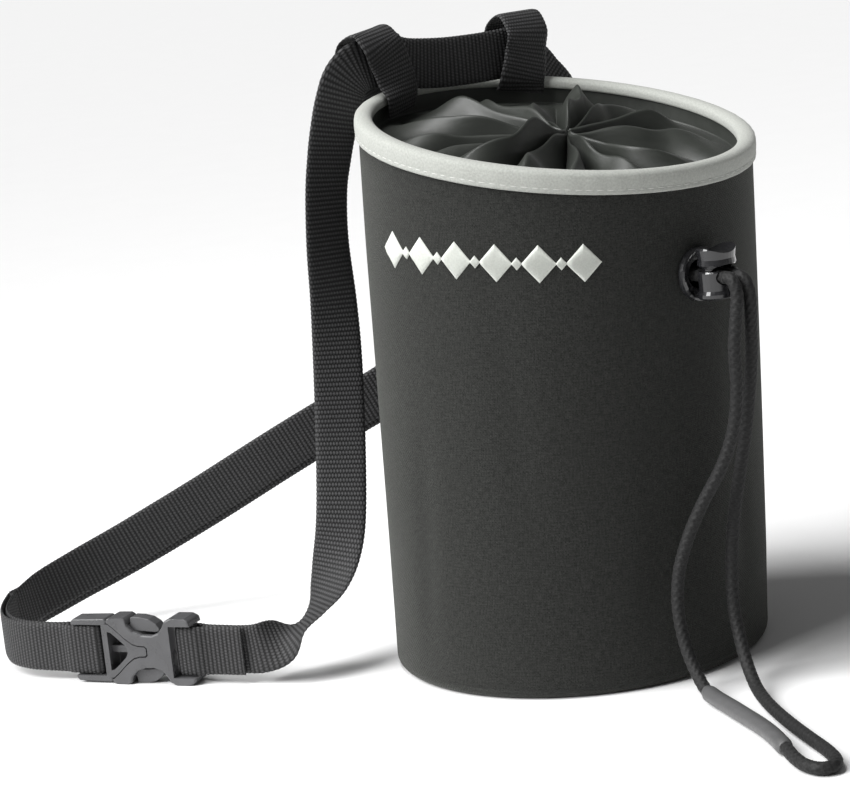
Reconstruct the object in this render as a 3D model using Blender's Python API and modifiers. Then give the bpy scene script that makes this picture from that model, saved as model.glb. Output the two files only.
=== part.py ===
"""Climber's chalk bag with a gathered closure, a cord lock and a buckled waist belt.

Row frame: metres, +Z up, origin at the centre of the flat base. -Y is the side with
the emblem, +X is towards the cord lock, and the belt runs out to -X.
"""
import math

import bmesh
import bpy
from mathutils import Euler, Matrix, Vector

MM = 0.001

# ---------------------------------------------------------------- driving dimensions
FIT_GAP = 0.3 * MM              # air between pieces that touch

BASE_RADIUS = 58.9 * MM         # outside of the shell at the floor
SHELL_RIM_RADIUS = 60.25 * MM   # outside of the shell at the rim
RIM_HEIGHT = 166.4 * MM         # mean height of the binding's top edge
RIM_SLOPE = 0.195               # the rim rises towards the belt loops
RIM_HIGH_ANGLE = math.radians(136)
RIM_LEAN = 7.0 * MM             # the rim's centre stands this far to +X of the base
BAG_SEGMENTS = 48

SHELL_THICKNESS = 0.8 * MM
SHELL_LIFT = 0.05 * MM          # the wall's foot, clear of the floor
HOOP_THICKNESS = 0.8 * MM
LINER_THICKNESS = 0.6 * MM
SLEEVE_THICKNESS = 0.5 * MM
LAYER_GAP = 0.25 * MM
BINDING_THICKNESS = 0.8 * MM
BINDING_HEIGHT = 7.0 * MM       # its outer leg
BINDING_INNER_LEG = 3.6 * MM
BINDING_CREST = 1.3 * MM        # layers under the binding stop this far below its top

GATHER_CENTRE = Vector((10.5, -2.0, 158.0)) * MM
GATHER_RADIUS = 4.5 * MM
SLEEVE_DROP = 10.0 * MM         # the sleeve hangs this far down before it turns inwards

WEBBING_WIDTH = 16.0 * MM
WEBBING_THICKNESS = 1.2 * MM
LAYER_PITCH = 0.9 * MM          # half the distance between two webbing layers
BAR_PITCH = 2.4 * MM            # webbing centre to bar centre where it wraps a bar
TAIL_SHIFT = 2.5 * MM           # the free tail lies this much lower than the belt
STRIP_GAP = 1.2 * MM            # between the belt's stretches, whose ends are not parallel

CORD_RADIUS = 1.9 * MM
CORD_SPACING = 2.05 * MM        # each strand's distance from the lock's middle
SPLICE_RADIUS = 2.5 * MM

EYELET_ANGLE = math.radians(308)
EYELET_HEIGHT = 122.2 * MM

BUCKLE_CENTRE = Vector((-141.4, 8.9, 11.0)) * MM
BUCKLE_YAW = math.radians(-24)

# ---------------------------------------------------------------- scene and materials
for old in list(bpy.data.objects):
    bpy.data.objects.remove(old, do_unlink=True)

parts = bpy.data.collections.new("chalk_bag")
cutters = bpy.data.collections.new("cutters")
bpy.context.scene.collection.children.link(parts)
bpy.context.scene.collection.children.link(cutters)


def make_material(name, colour, roughness, metallic=0.0):
    material = bpy.data.materials.new(name)
    material.use_nodes = True
    shader = material.node_tree.nodes["Principled BSDF"]
    shader.inputs["Base Color"].default_value = (*colour, 1.0)
    shader.inputs["Roughness"].default_value = roughness
    shader.inputs["Metallic"].default_value = metallic
    return material


shell_fabric = make_material("shell_fabric", (0.045, 0.046, 0.043), 0.85)
liner_fleece = make_material("liner_fleece", (0.09, 0.09, 0.085), 0.95)
binding_tape = make_material("binding_tape", (0.56, 0.57, 0.54), 0.8)
sleeve_nylon = make_material("sleeve_nylon", (0.07, 0.075, 0.068), 0.45)
hoop_plastic = make_material("hoop_plastic", (0.6, 0.6, 0.58), 0.5)
webbing = make_material("webbing", (0.03, 0.03, 0.031), 0.8)
buckle_plastic = make_material("buckle_plastic", (0.05, 0.05, 0.052), 0.4)
lock_plastic = make_material("lock_plastic", (0.02, 0.02, 0.022), 0.25)
cord_braid = make_material("cord_braid", (0.018, 0.018, 0.018), 0.8)
splice_tube = make_material("splice_tube", (0.09, 0.09, 0.09), 0.4)
spring_steel = make_material("spring_steel", (0.6, 0.6, 0.6), 0.3, 1.0)


# ---------------------------------------------------------------- helpers
def add_object(name, mesh, material, collection=parts):
    thing = bpy.data.objects.new(name, mesh)
    collection.objects.link(thing)
    if material:
        thing.data.materials.append(material)
    return thing


def place(thing, matrix):
    thing.matrix_world = matrix
    return thing


def mesh_from(build, name, closed=True):
    """A mesh filled by build(bm); a closed one gets its faces pointing outwards."""
    bm = bmesh.new()
    build(bm)
    if closed:
        bmesh.ops.recalc_face_normals(bm, faces=bm.faces)
    mesh = bpy.data.meshes.new(name)
    bm.to_mesh(mesh)
    bm.free()
    return mesh


def shade(thing, angle=35):
    thing.data.shade_smooth()
    thing.data.set_sharp_from_angle(angle=math.radians(angle))
    return thing


def make_cutter(name, mesh, matrix=None):
    cutter = add_object(name, mesh, None, cutters)
    cutter.hide_render = True
    cutter.display_type = "WIRE"
    if matrix:
        cutter.matrix_world = matrix
    return cutter


def boolean(thing, tool, operation="DIFFERENCE"):
    modifier = thing.modifiers.new(operation.lower(), "BOOLEAN")
    modifier.operation = operation
    modifier.solver = "EXACT"
    modifier.object = tool
    return thing


def bevel(thing, width, segments=2, angle=35):
    modifier = thing.modifiers.new("edges", "BEVEL")
    modifier.width = width
    modifier.segments = segments
    modifier.limit_method = "ANGLE"
    modifier.angle_limit = math.radians(angle)
    return thing


def box_mesh(name, low, high):
    """A box between two corners, in millimetres."""
    low, high = Vector(low) * MM, Vector(high) * MM

    def build(bm):
        bmesh.ops.create_cube(bm, size=1.0)
        for vert in bm.verts:
            for axis in range(3):
                vert.co[axis] = low[axis] if vert.co[axis] < 0 else high[axis]
    return mesh_from(build, name)


def plate_mesh(name, outline, low, high):
    """A flat outline in millimetres, extruded from low to high along local Z."""
    curve = bpy.data.curves.new(name, "CURVE")
    curve.dimensions = "2D"
    curve.fill_mode = "BOTH"
    curve.extrude = (high - low) / 2 * MM
    spline = curve.splines.new("POLY")
    spline.points.add(len(outline) - 1)
    for point, (x, y) in zip(spline.points, outline):
        point.co = (x * MM, y * MM, 0, 1)
    spline.use_cyclic_u = True
    middle = Vector((0, 0, (high + low) / 2 * MM))
    return curve_to_mesh(name, curve, Matrix.Translation(middle))


def curve_to_mesh(name, curve, matrix=Matrix()):
    """The curve's evaluated mesh with its loose caps welded."""
    guide = bpy.data.objects.new(name, curve)
    parts.objects.link(guide)
    bpy.context.view_layer.update()
    evaluated = guide.evaluated_get(bpy.context.evaluated_depsgraph_get())
    mesh = bpy.data.meshes.new_from_object(evaluated)
    bpy.data.objects.remove(guide, do_unlink=True)
    bm = bmesh.new()
    bm.from_mesh(mesh)
    bmesh.ops.remove_doubles(bm, verts=bm.verts, dist=0.00001)
    bmesh.ops.transform(bm, matrix=matrix, verts=bm.verts)
    bmesh.ops.recalc_face_normals(bm, faces=bm.faces)
    bm.to_mesh(mesh)
    bm.free()
    return mesh


def mirrored(outline):
    """Close an upper half outline with its mirror image below the axis."""
    return outline + [(x, -y) for x, y in reversed(outline)]


def catmull(route, steps):
    """A smooth curve through the route's own points (each a list of numbers)."""
    ends = [route[0]] + list(route) + [route[-1]]
    samples = []
    for a, b, c, d in zip(ends, ends[1:], ends[2:], ends[3:]):
        for step in range(steps):
            t = step / steps
            samples.append([
                0.5 * (2 * q + (r - p) * t + (2 * p - 5 * q + 4 * r - s) * t * t
                       + (3 * q - p - 3 * r + s) * t * t * t)
                for p, q, r, s in zip(a, b, c, d)])
    samples.append(list(route[-1]))
    return samples


# ---------------------------------------------------------------- the bag's own surface
def rim_height(angle):
    return RIM_HEIGHT + RIM_SLOPE * SHELL_RIM_RADIUS * math.cos(angle - RIM_HIGH_ANGLE)


def bag_point(angle, share, inset=0.0, drop=0.0, lift=0.0):
    """A point of the wall: share 0 is the base and 1 the rim, inset is inwards."""
    height = lift + share * (rim_height(angle) - drop - lift)
    radius = BASE_RADIUS + (SHELL_RIM_RADIUS - BASE_RADIUS) * share - inset
    centre = RIM_LEAN * height / RIM_HEIGHT
    return Vector((centre + radius * math.cos(angle), radius * math.sin(angle), height))


def below_rim(angle, depth, inset):
    """The wall's point at a depth below the rim."""
    return bag_point(angle, 1 - depth / rim_height(angle), inset)


def wall_tube(name, material, thickness, inset, drop, lift=0.0, rows=3):
    """A fabric tube: an open cylinder shaped to the bag, thickened inwards."""
    def build(bm):
        bmesh.ops.create_cone(bm, segments=BAG_SEGMENTS, radius1=1, radius2=1, depth=1,
                              cap_ends=False)
        uprights = [edge for edge in bm.edges
                    if abs(edge.verts[0].co.z - edge.verts[1].co.z) > 0.5]
        bmesh.ops.subdivide_edges(bm, edges=uprights, cuts=rows - 1)
        for vert in bm.verts:
            angle = math.atan2(vert.co.y, vert.co.x)
            vert.co = bag_point(angle, vert.co.z + 0.5, inset, drop, lift)
    tube = add_object(name, mesh_from(build, name, closed=False), material)
    modifier = tube.modifiers.new("thickness", "SOLIDIFY")
    modifier.thickness = thickness
    modifier.offset = -1
    return tube


def ring_sweep(name, material, section):
    """A closed ring round the rim; section lists (inset, depth below the rim)."""
    def build(bm):
        rings = []
        for index in range(BAG_SEGMENTS):
            angle = 2 * math.pi * index / BAG_SEGMENTS
            rings.append([bm.verts.new(below_rim(angle, depth, inset))
                          for inset, depth in section])
        for ring, following in zip(rings, rings[1:] + rings[:1]):
            for a in range(len(section)):
                b = (a + 1) % len(section)
                bm.faces.new((ring[a], ring[b], following[b], following[a]))
    return add_object(name, mesh_from(build, name), material)


HOOP_INSET = SHELL_THICKNESS + LAYER_GAP
LINER_INSET = HOOP_INSET + HOOP_THICKNESS + LAYER_GAP
SLEEVE_INSET = LINER_INSET + LINER_THICKNESS + LAYER_GAP
BINDING_OUTSET = LAYER_GAP + BINDING_THICKNESS
BINDING_INSET = SLEEVE_INSET + SLEEVE_THICKNESS + BINDING_OUTSET


def make_bag():
    shell = wall_tube("shell_wall", shell_fabric, SHELL_THICKNESS, 0.0, BINDING_CREST,
                      SHELL_LIFT)
    liner = wall_tube("liner_wall", liner_fleece, LINER_THICKNESS, LINER_INSET,
                      BINDING_CREST, lift=1.3 * MM)
    make_disc("shell_base", shell_fabric, BASE_RADIUS - SHELL_THICKNESS - FIT_GAP,
              0.0, 1.0 * MM)
    make_disc("liner_base", liner_fleece,
              BASE_RADIUS - LINER_INSET - LINER_THICKNESS - FIT_GAP, 1.3 * MM, 2.1 * MM)

    hoop_top = BINDING_CREST
    hoop_foot = BINDING_HEIGHT - 1.0 * MM
    hoop_back = HOOP_INSET + HOOP_THICKNESS
    ring_sweep("rim_hoop", hoop_plastic,
               [(HOOP_INSET, hoop_top), (hoop_back, hoop_top),
                (hoop_back, hoop_foot), (HOOP_INSET, hoop_foot)])

    outer, inner = -BINDING_OUTSET, BINDING_INSET
    leg = BINDING_THICKNESS
    shoulder = 0.9 * MM
    ring_sweep("rim_binding", binding_tape,
               [(outer, BINDING_HEIGHT), (outer, shoulder), (outer + shoulder, 0.0),
                (inner - shoulder, 0.0), (inner, shoulder), (inner, BINDING_INNER_LEG),
                (inner - leg, BINDING_INNER_LEG), (inner - leg, leg),
                (outer + leg, leg), (outer + leg, BINDING_HEIGHT)])
    return shell, liner


def make_disc(name, material, radius, low, high):
    def build(bm):
        bmesh.ops.create_cone(bm, segments=BAG_SEGMENTS, radius1=radius, radius2=radius,
                              depth=high - low, cap_ends=True)
    disc = add_object(name, mesh_from(build, name), material)
    disc.location = (0, 0, (low + high) / 2)
    return disc


def make_closure():
    """The gathered sleeve: down inside the rim, then in to the small gather hole."""
    inward_rings = 3

    def build(bm):
        bmesh.ops.create_cone(bm, segments=BAG_SEGMENTS, radius1=1, radius2=1, depth=1,
                              cap_ends=False)
        uprights = [edge for edge in bm.edges
                    if abs(edge.verts[0].co.z - edge.verts[1].co.z) > 0.5]
        bmesh.ops.subdivide_edges(bm, edges=uprights, cuts=inward_rings)
        for vert in bm.verts:
            angle = math.atan2(vert.co.y, vert.co.x)
            ring = round((0.5 - vert.co.z) * (inward_rings + 1))
            if ring == 0:
                vert.co = below_rim(angle, BINDING_CREST + FIT_GAP, SLEEVE_INSET)
                continue
            share = (ring - 1) / inward_rings
            bend = below_rim(angle, SLEEVE_DROP, SLEEVE_INSET)
            mouth = GATHER_CENTRE + GATHER_RADIUS * Vector((math.cos(angle),
                                                            math.sin(angle), 0))
            vert.co = bend.lerp(mouth, share)
    sleeve = add_object("closure_sleeve", mesh_from(build, "closure_sleeve", closed=False),
                        sleeve_nylon)
    modifier = sleeve.modifiers.new("thickness", "SOLIDIFY")
    modifier.thickness = SLEEVE_THICKNESS
    modifier.offset = -1
    return sleeve


# ---------------------------------------------------------------- eyelet and cord lock
def eyelet_matrix():
    """Local X is along the two cords' spacing, local Y up, local Z out of the wall."""
    share = EYELET_HEIGHT / rim_height(EYELET_ANGLE)
    wall = bag_point(EYELET_ANGLE, share)
    out = Vector((math.cos(EYELET_ANGLE), math.sin(EYELET_ANGLE), 0))
    across = Vector((-out.y, out.x, 0))
    axes = Matrix((across, Vector((0, 0, 1)), out)).transposed().to_4x4()
    return Matrix.Translation(wall) @ axes


EYELET = eyelet_matrix()


def turned(name, material, profile, steps=24):
    """A Screw of (radius, height) in millimetres, outer side listed top to bottom."""
    mesh = bpy.data.meshes.new(name)
    points = [(radius * MM, 0, height * MM) for radius, height in profile]
    edges = [(i, (i + 1) % len(points)) for i in range(len(points))]
    mesh.from_pydata(points, edges, [])
    thing = add_object(name, mesh, material)
    modifier = thing.modifiers.new("turn", "SCREW")
    modifier.steps = steps
    modifier.render_steps = steps
    modifier.use_merge_vertices = True
    modifier.merge_threshold = 0.00001
    return thing


def make_eyelet(shell, liner):
    def build(bm):
        bmesh.ops.create_cone(bm, segments=24, radius1=5.6 * MM, radius2=5.6 * MM,
                              depth=14 * MM, cap_ends=True)
    hole = make_cutter("eyelet_hole", mesh_from(build, "eyelet_hole"), EYELET)
    boolean(shell, hole)
    boolean(liner, hole)
    grommet = turned("eyelet_grommet", lock_plastic, [
        (7.4, 2.2), (8.0, 1.9), (8.2, 0.9), (8.2, 0.4), (5.2, 0.4), (5.2, -5.0),
        (5.9, -5.2), (5.9, -5.6), (4.5, -5.6), (4.5, 0.9), (6.4, 1.1), (6.9, 2.0)])
    place(grommet, EYELET)
    washer = turned("eyelet_washer", lock_plastic, [
        (8.4, -3.7), (8.4, -4.4), (8.1, -4.7), (5.5, -4.7), (5.5, -3.7)])
    place(washer, EYELET)


LOCK_STAND_OFF = 8.4            # lock axis to wall, mm
LOCK = EYELET @ Matrix.Translation((0, 0, LOCK_STAND_OFF * MM)) @ Euler(
    (math.radians(-90), 0, 0)).to_matrix().to_4x4()


def oval_turn(name, material, profile, squash):
    """A turned piece whose depth (local Y) is squashed by the given share."""
    steps = 28

    def build(bm):
        rings = []
        for index in range(steps):
            angle = 2 * math.pi * index / steps
            rings.append([bm.verts.new(((r * math.cos(angle)) * MM,
                                        (r - squash) * math.sin(angle) * MM, z * MM))
                          for r, z in profile])
        for ring, following in zip(rings, rings[1:] + rings[:1]):
            for a in range(len(profile) - 1):
                bm.faces.new((ring[a], ring[a + 1], following[a + 1], following[a]))
        bm.faces.new([ring[0] for ring in rings])
        bm.faces.new([ring[-1] for ring in rings])
    return place(add_object(name, mesh_from(build, name), material), LOCK)


def slot_cutter(name, half_width, low, high):
    """A flat slot with round ends along the cords, through the lock."""
    middle, half_height = (low + high) / 2, (high - low) / 2
    straight = half_width - half_height
    outline = []
    for side in (1, -1):
        for index in range(13):
            angle = math.radians(-90 + 15 * index)
            outline.append((side * (straight + half_height * math.cos(angle)),
                            middle + side * half_height * math.sin(angle)))
    mesh = plate_mesh(name, outline, -12, 12)
    return make_cutter(name, mesh, EYELET @ Matrix.Translation(
        (0, 0, LOCK_STAND_OFF * MM)))


def make_cord_lock():
    squash = 1.0
    barrel = oval_turn("cordlock_barrel", lock_plastic, [
        (5.1, -5.5), (5.1, 1.4), (5.35, 1.8), (5.9, 1.8), (6.3, 1.4), (6.2, -3.9),
        (6.8, -4.9), (6.8, -5.9), (6.3, -6.4)], squash)
    boolean(barrel, slot_cutter("barrel_slot", 4.4, -2.25, 2.25))
    plunger = oval_turn("cordlock_plunger", lock_plastic, [
        (4.6, -3.2), (4.8, -2.9), (4.8, 2.5), (5.0, 3.1), (5.9, 3.2), (6.2, 3.6),
        (6.0, 5.2), (6.3, 7.4), (6.4, 8.2), (6.0, 8.8)], squash)
    boolean(plunger, slot_cutter("plunger_slot", 4.6, -2.3, 3.5))

    def build(bm):
        bmesh.ops.create_cone(bm, segments=40, radius1=11 * MM, radius2=11 * MM,
                              depth=24 * MM, cap_ends=True)
    saddle = make_cutter("thumb_saddle", mesh_from(build, "thumb_saddle"),
                         LOCK @ Matrix.Translation((0, 0, 18.0 * MM))
                         @ Euler((math.radians(90), 0, 0)).to_matrix().to_4x4())
    boolean(plunger, saddle)

    turns, points_per_turn = 2.25, 12
    low, high, radius = -5.2, -3.5, 3.0
    count = round(turns * points_per_turn) + 1
    coil = [Vector((radius * math.cos(2 * math.pi * i / points_per_turn),
                    radius * math.sin(2 * math.pi * i / points_per_turn),
                    low + (high - low) * i / (count - 1))) * MM for i in range(count)]
    tube("cordlock_spring", spring_steel, [LOCK @ point for point in coil], 0.25 * MM, 2)


def tube(name, material, points, radius, resolution=2):
    """A capped round tube through the given points."""
    curve = bpy.data.curves.new(name, "CURVE")
    curve.dimensions = "3D"
    curve.bevel_depth = radius
    curve.bevel_resolution = resolution
    curve.use_fill_caps = True
    spline = curve.splines.new("POLY")
    spline.points.add(len(points) - 1)
    for target, point in zip(spline.points, points):
        target.co = (*point, 1)
    return add_object(name, curve, material)


# ---------------------------------------------------------------- drawcord
# One strand's route from the lock's front to the splice, and the other back, in mm.
FRONT_STRAND = [
    (48.9, -59.35, 122.2), (50.1, -61.1, 121.9), (51.0, -62.4, 120.1),
    (51.3, -63.0, 116.6), (50.4, -63.2, 110.5), (49.2, -62.8, 101.0),
    (49.1, -61.6, 90.0), (47.2, -60.6, 77.5), (42.9, -60.0, 66.5), (36.3, -59.8, 55.8),
    (31.0, -59.8, 45.5), (27.4, -60.2, 35.0), (26.3, -61.4, 24.5), (27.4, -64.0, 14.0),
    (29.6, -68.6, 6.6), (31.6, -74.6, 3.0)]
SPLICE_ROUTE = [
    (31.6, -74.6, 3.0), (34.2, -83.0, 2.65), (38.0, -94.5, 2.6), (41.7, -106.0, 2.6),
    (44.6, -118.0, 2.6), (46.6, -130.0, 2.6)]
BACK_STRAND = [
    (46.6, -130.0, 2.6), (47.8, -137.0, 2.2), (49.8, -143.6, 2.0), (53.2, -147.6, 2.0),
    (56.9, -146.9, 2.0), (58.4, -142.0, 2.0), (57.3, -133.5, 2.0), (54.4, -122.0, 2.0),
    (51.4, -109.5, 2.0), (48.9, -97.0, 2.0), (47.0, -85.0, 2.2), (45.7, -75.0, 3.6),
    (44.6, -67.0, 8.0), (43.7, -61.3, 15.0), (43.1, -57.6, 24.5), (44.0, -55.5, 37.0),
    (46.0, -54.5, 50.5), (49.0, -54.0, 64.0), (51.5, -54.6, 75.5), (53.4, -56.3, 88.0),
    (54.6, -58.4, 98.5), (55.0, -59.9, 108.2), (55.3, -60.6, 115.4),
    (54.8, -60.2, 119.6), (53.6, -58.7, 121.8), (52.15, -56.83, 122.2)]
# Inside the bag: in through lock and eyelet, up the liner, and round the gather.
INNER_STRAND = [(24.0, -11.5, 152.3), (27.0, -19.5, 149.0), (30.0, -27.0, 144.5),
                (32.6, -32.8, 137.5), (34.0, -35.6, 130.0), (35.6, -37.8, 124.6)]


def drawcord_route(route, steps=3):
    return [Vector(point) * MM for point in catmull(route, steps)]


def trimmed(points, gap):
    """The same points with each end drawn back by the gap."""
    points = list(points)
    points[0] = points[0] + (points[1] - points[0]).normalized() * gap
    points[-1] = points[-1] + (points[-2] - points[-1]).normalized() * gap
    return points


def make_drawcord():
    tube("drawcord_front_strand", cord_braid,
         trimmed(drawcord_route(FRONT_STRAND), FIT_GAP / 2), CORD_RADIUS)
    tube("splice_sleeve", splice_tube,
         trimmed(drawcord_route(SPLICE_ROUTE), 2 * FIT_GAP), SPLICE_RADIUS)
    tube("drawcord_back_strand", cord_braid,
         trimmed(drawcord_route(BACK_STRAND, 2), FIT_GAP / 2), CORD_RADIUS)

    front = 13.75 * MM          # just outside the lock's front
    inside = -9.0 * MM
    across = EYELET.to_3x3() @ Vector((CORD_SPACING, 0, 0))
    left_in = EYELET @ Vector((-CORD_SPACING, 0, front))
    left_end = EYELET @ Vector((-CORD_SPACING, 0, inside))
    right_in = EYELET @ Vector((CORD_SPACING, 0, front))
    right_end = EYELET @ Vector((CORD_SPACING, 0, inside))
    rise = [Vector(point) * MM for point in reversed(INNER_STRAND)]
    ring_radius = GATHER_RADIUS + 2.4 * MM
    ring_drop = Vector((0, 0, 5.2 * MM))
    turn = [GATHER_CENTRE - ring_drop
            + ring_radius * Vector((math.cos(math.radians(a)), math.sin(math.radians(a)), 0))
            for a in range(-95, -375, -28)]
    route = [left_in, left_in.lerp(left_end, 0.5), left_end]
    route += [point - across for point in rise]
    route += turn
    route += [point + across for point in reversed(rise)]
    route += [right_end, right_end.lerp(right_in, 0.5), right_in]
    tube("drawcord_inner", cord_braid,
         trimmed([Vector(p) for p in catmull([list(p) for p in route], 2)], FIT_GAP / 2),
         CORD_RADIUS)


# ---------------------------------------------------------------- webbing
def strap(name, material, stations):
    """A flat strip through stations of (x, y, z, wx, wy, wz): centre and width hint."""
    def build(bm):
        rings = []
        centres = [Vector(s[:3]) for s in stations]
        for index, station in enumerate(stations):
            before = centres[max(index - 1, 0)]
            after = centres[min(index + 1, len(centres) - 1)]
            along = (after - before).normalized()
            hint = Vector(station[3:])
            width = (hint - hint.dot(along) * along).normalized() * WEBBING_WIDTH / 2
            face = along.cross(width).normalized() * WEBBING_THICKNESS / 2
            centre = centres[index]
            rings.append([bm.verts.new(centre + width + face),
                          bm.verts.new(centre - width + face),
                          bm.verts.new(centre - width - face),
                          bm.verts.new(centre + width - face)])
        for ring, following in zip(rings, rings[1:]):
            for a in range(4):
                b = (a + 1) % 4
                bm.faces.new((ring[a], ring[b], following[b], following[a]))
        bm.faces.new(rings[0])
        bm.faces.new(rings[-1])
    return add_object(name, mesh_from(build, name), material)


BUCKLE = Matrix.Translation(BUCKLE_CENTRE) @ Euler(
    (math.radians(90), 0, BUCKLE_YAW)).to_matrix().to_4x4()
UP = (0.0, 0.0, 1.0)


def at_buckle(along, outwards):
    """A webbing station beside the buckle: mm along it and mm out of its face."""
    return (*(BUCKLE @ (Vector((along, 0, outwards)) * MM)), *UP)


def wrap(bar_centre, side):
    """Webbing round a bar: a half turn on the bar's side towards side, front to back."""
    pitch = BAR_PITCH / MM
    return [at_buckle(bar_centre + side * pitch * math.cos(math.radians(a)),
                      pitch * math.sin(math.radians(a))) for a in range(90, -91, -30)]


# The belt from the buckle's socket, up through both loops and round behind the bag.
FRONT_RUN = [
    (-101.0, -8.3, 11.6, 0, 0.1, 1), (-94.5, -8.0, 13.2, 0, 0.62, 0.78),
    (-88.2, -6.6, 16.4, -0.08, 1, -0.02), (-82.6, -4.6, 21.2, -0.35, 0.93, -0.1),
    (-78.2, -2.0, 27.8, -0.75, 0.66, -0.05), (-74.6, 1.2, 36.5, -0.95, 0.3, 0),
    (-72.0, 5.0, 47.5, -1, 0.05, 0), (-69.8, 11.0, 68.0, -1, -0.05, 0),
    (-67.8, 16.0, 95.0, -0.97, -0.2, 0), (-67.0, 19.0, 114.0, -0.9, -0.4, 0),
    (-66.8, 20.4, 133.0, -0.82, -0.55, 0), (-65.4, 20.4, 149.0, -0.8, -0.57, 0.15),
    (-63.2, 19.8, 160.0, -0.79, -0.5, 0.33), (-60.9, 19.0, 169.0, -0.75, -0.42, 0.5),
    (-58.4, 19.0, 176.8, -0.68, -0.3, 0.67), (-56.0, 20.2, 182.6, -0.62, -0.25, 0.74)]
# Then over the rim's crest, along inside it, and out over it again.
OVER_RIM = [
    (-52.0, 22.4, 186.4, -0.5, -0.15, 0.85), (-46.6, 26.2, 187.4, -0.3, 0.0, 0.95),
    (-41.0, 30.4, 187.2, -0.1, 0.05, 0.99), (-35.2, 33.6, 185.4, *UP),
    (-25.3, 40.3, 184.0, *UP), (-15.6, 45.6, 183.6, *UP), (-8.0, 50.4, 183.6, *UP),
    (-2.5, 53.6, 183.9, *UP), (0.5, 56.0, 184.4, *UP), (3.2, 62.2, 183.8, *UP),
    (5.5, 67.5, 179.5, *UP), (9.5, 71.5, 172.8, *UP), (14.0, 75.0, 166.0, *UP),
    (18.5, 79.0, 157.0, *UP), (22.0, 83.0, 147.0, *UP), (22.5, 87.0, 136.0, *UP),
    (17.5, 90.5, 124.5, *UP), (4.0, 93.0, 111.0, *UP), (-13.0, 93.0, 98.5, *UP),
    (-34.0, 91.0, 83.5, *UP)]
# From here the belt and its free tail lie face to face; this is their middle.
BACK_RUN = [
    (-53.6, 88.8, 72.0), (-78.6, 87.0, 60.8), (-96.0, 86.2, 52.5), (-121.1, 85.5, 40.0),
    (-147.8, 83.2, 27.8), (-166.0, 78.6, 20.8), (-179.5, 70.2, 16.2),
    (-186.8, 58.6, 13.2)]
LEFT_BEND = [
    (-186.8, 58.6, 13.2), (-188.2, 46.5, 11.6), (-185.2, 35.2, 11.0),
    (-178.6, 26.8, 11.0), (-170.6, 22.0, 11.0)]


def in_metres(stations):
    return [(x * MM, y * MM, z * MM, *width) for x, y, z, *width in stations]


def upright(points):
    return in_metres([(*point, *UP) for point in points])


def layered(stations, offset, shift=0.0):
    """Stations moved offset along the strip's face and shift down its width."""
    moved = []
    centres = [Vector(s[:3]) for s in stations]
    for index, station in enumerate(stations):
        before = centres[max(index - 1, 0)]
        after = centres[min(index + 1, len(centres) - 1)]
        along = (after - before).normalized()
        hint = Vector(station[3:])
        width = (hint - hint.dot(along) * along).normalized()
        face = along.cross(width).normalized()
        moved.append((*(centres[index] + face * offset - width * shift), *station[3:]))
    return moved


def split(stations, gap=STRIP_GAP):
    """Draw the strip's last station back by a gap."""
    last, before = Vector(stations[-1][:3]), Vector(stations[-2][:3])
    place_back = last + (before - last).normalized() * gap
    return stations[:-1] + [(*place_back, *stations[-1][3:])]


def make_belt():
    socket_bar, ladder_bar = 17.4, -14.6
    sewn_end = [at_buckle(38.0, 0.9), at_buckle(31.0, 0.9), at_buckle(26.0, 1.2),
                at_buckle(21.8, 2.4)]
    socket_out = [at_buckle(21.8, -2.4), at_buckle(26.0, -1.2), at_buckle(31.0, -0.9),
                  at_buckle(38.0, -0.9)]
    # Along the belt's way its face side is outwards, so the inner layer is behind it.
    inner_back = layered(upright(BACK_RUN), -LAYER_PITCH)
    main = sewn_end + wrap(socket_bar, -1) + socket_out
    main += in_metres(FRONT_RUN + OVER_RIM) + inner_back
    strap("belt_webbing", webbing, split(catmull(main, 3)))

    bend = upright(LEFT_BEND)
    inner = layered(bend, -LAYER_PITCH)
    outer = layered(bend, LAYER_PITCH)
    turn = inner + [at_buckle(-26.5, -1.3), at_buckle(-22.8, -2.4)]
    turn += list(reversed(wrap(ladder_bar, 1)))
    turn += [at_buckle(-22.8, 2.4), at_buckle(-26.5, 1.3)]
    turn += list(reversed(outer))
    strap("belt_adjuster_turn", webbing, split(catmull(turn, 3)))

    tail = layered(upright(BACK_RUN), LAYER_PITCH, TAIL_SHIFT)
    tail[-1] = layered(upright(BACK_RUN), LAYER_PITCH)[-1]
    strap("belt_tail", webbing, split(catmull(tail, 3)))


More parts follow.
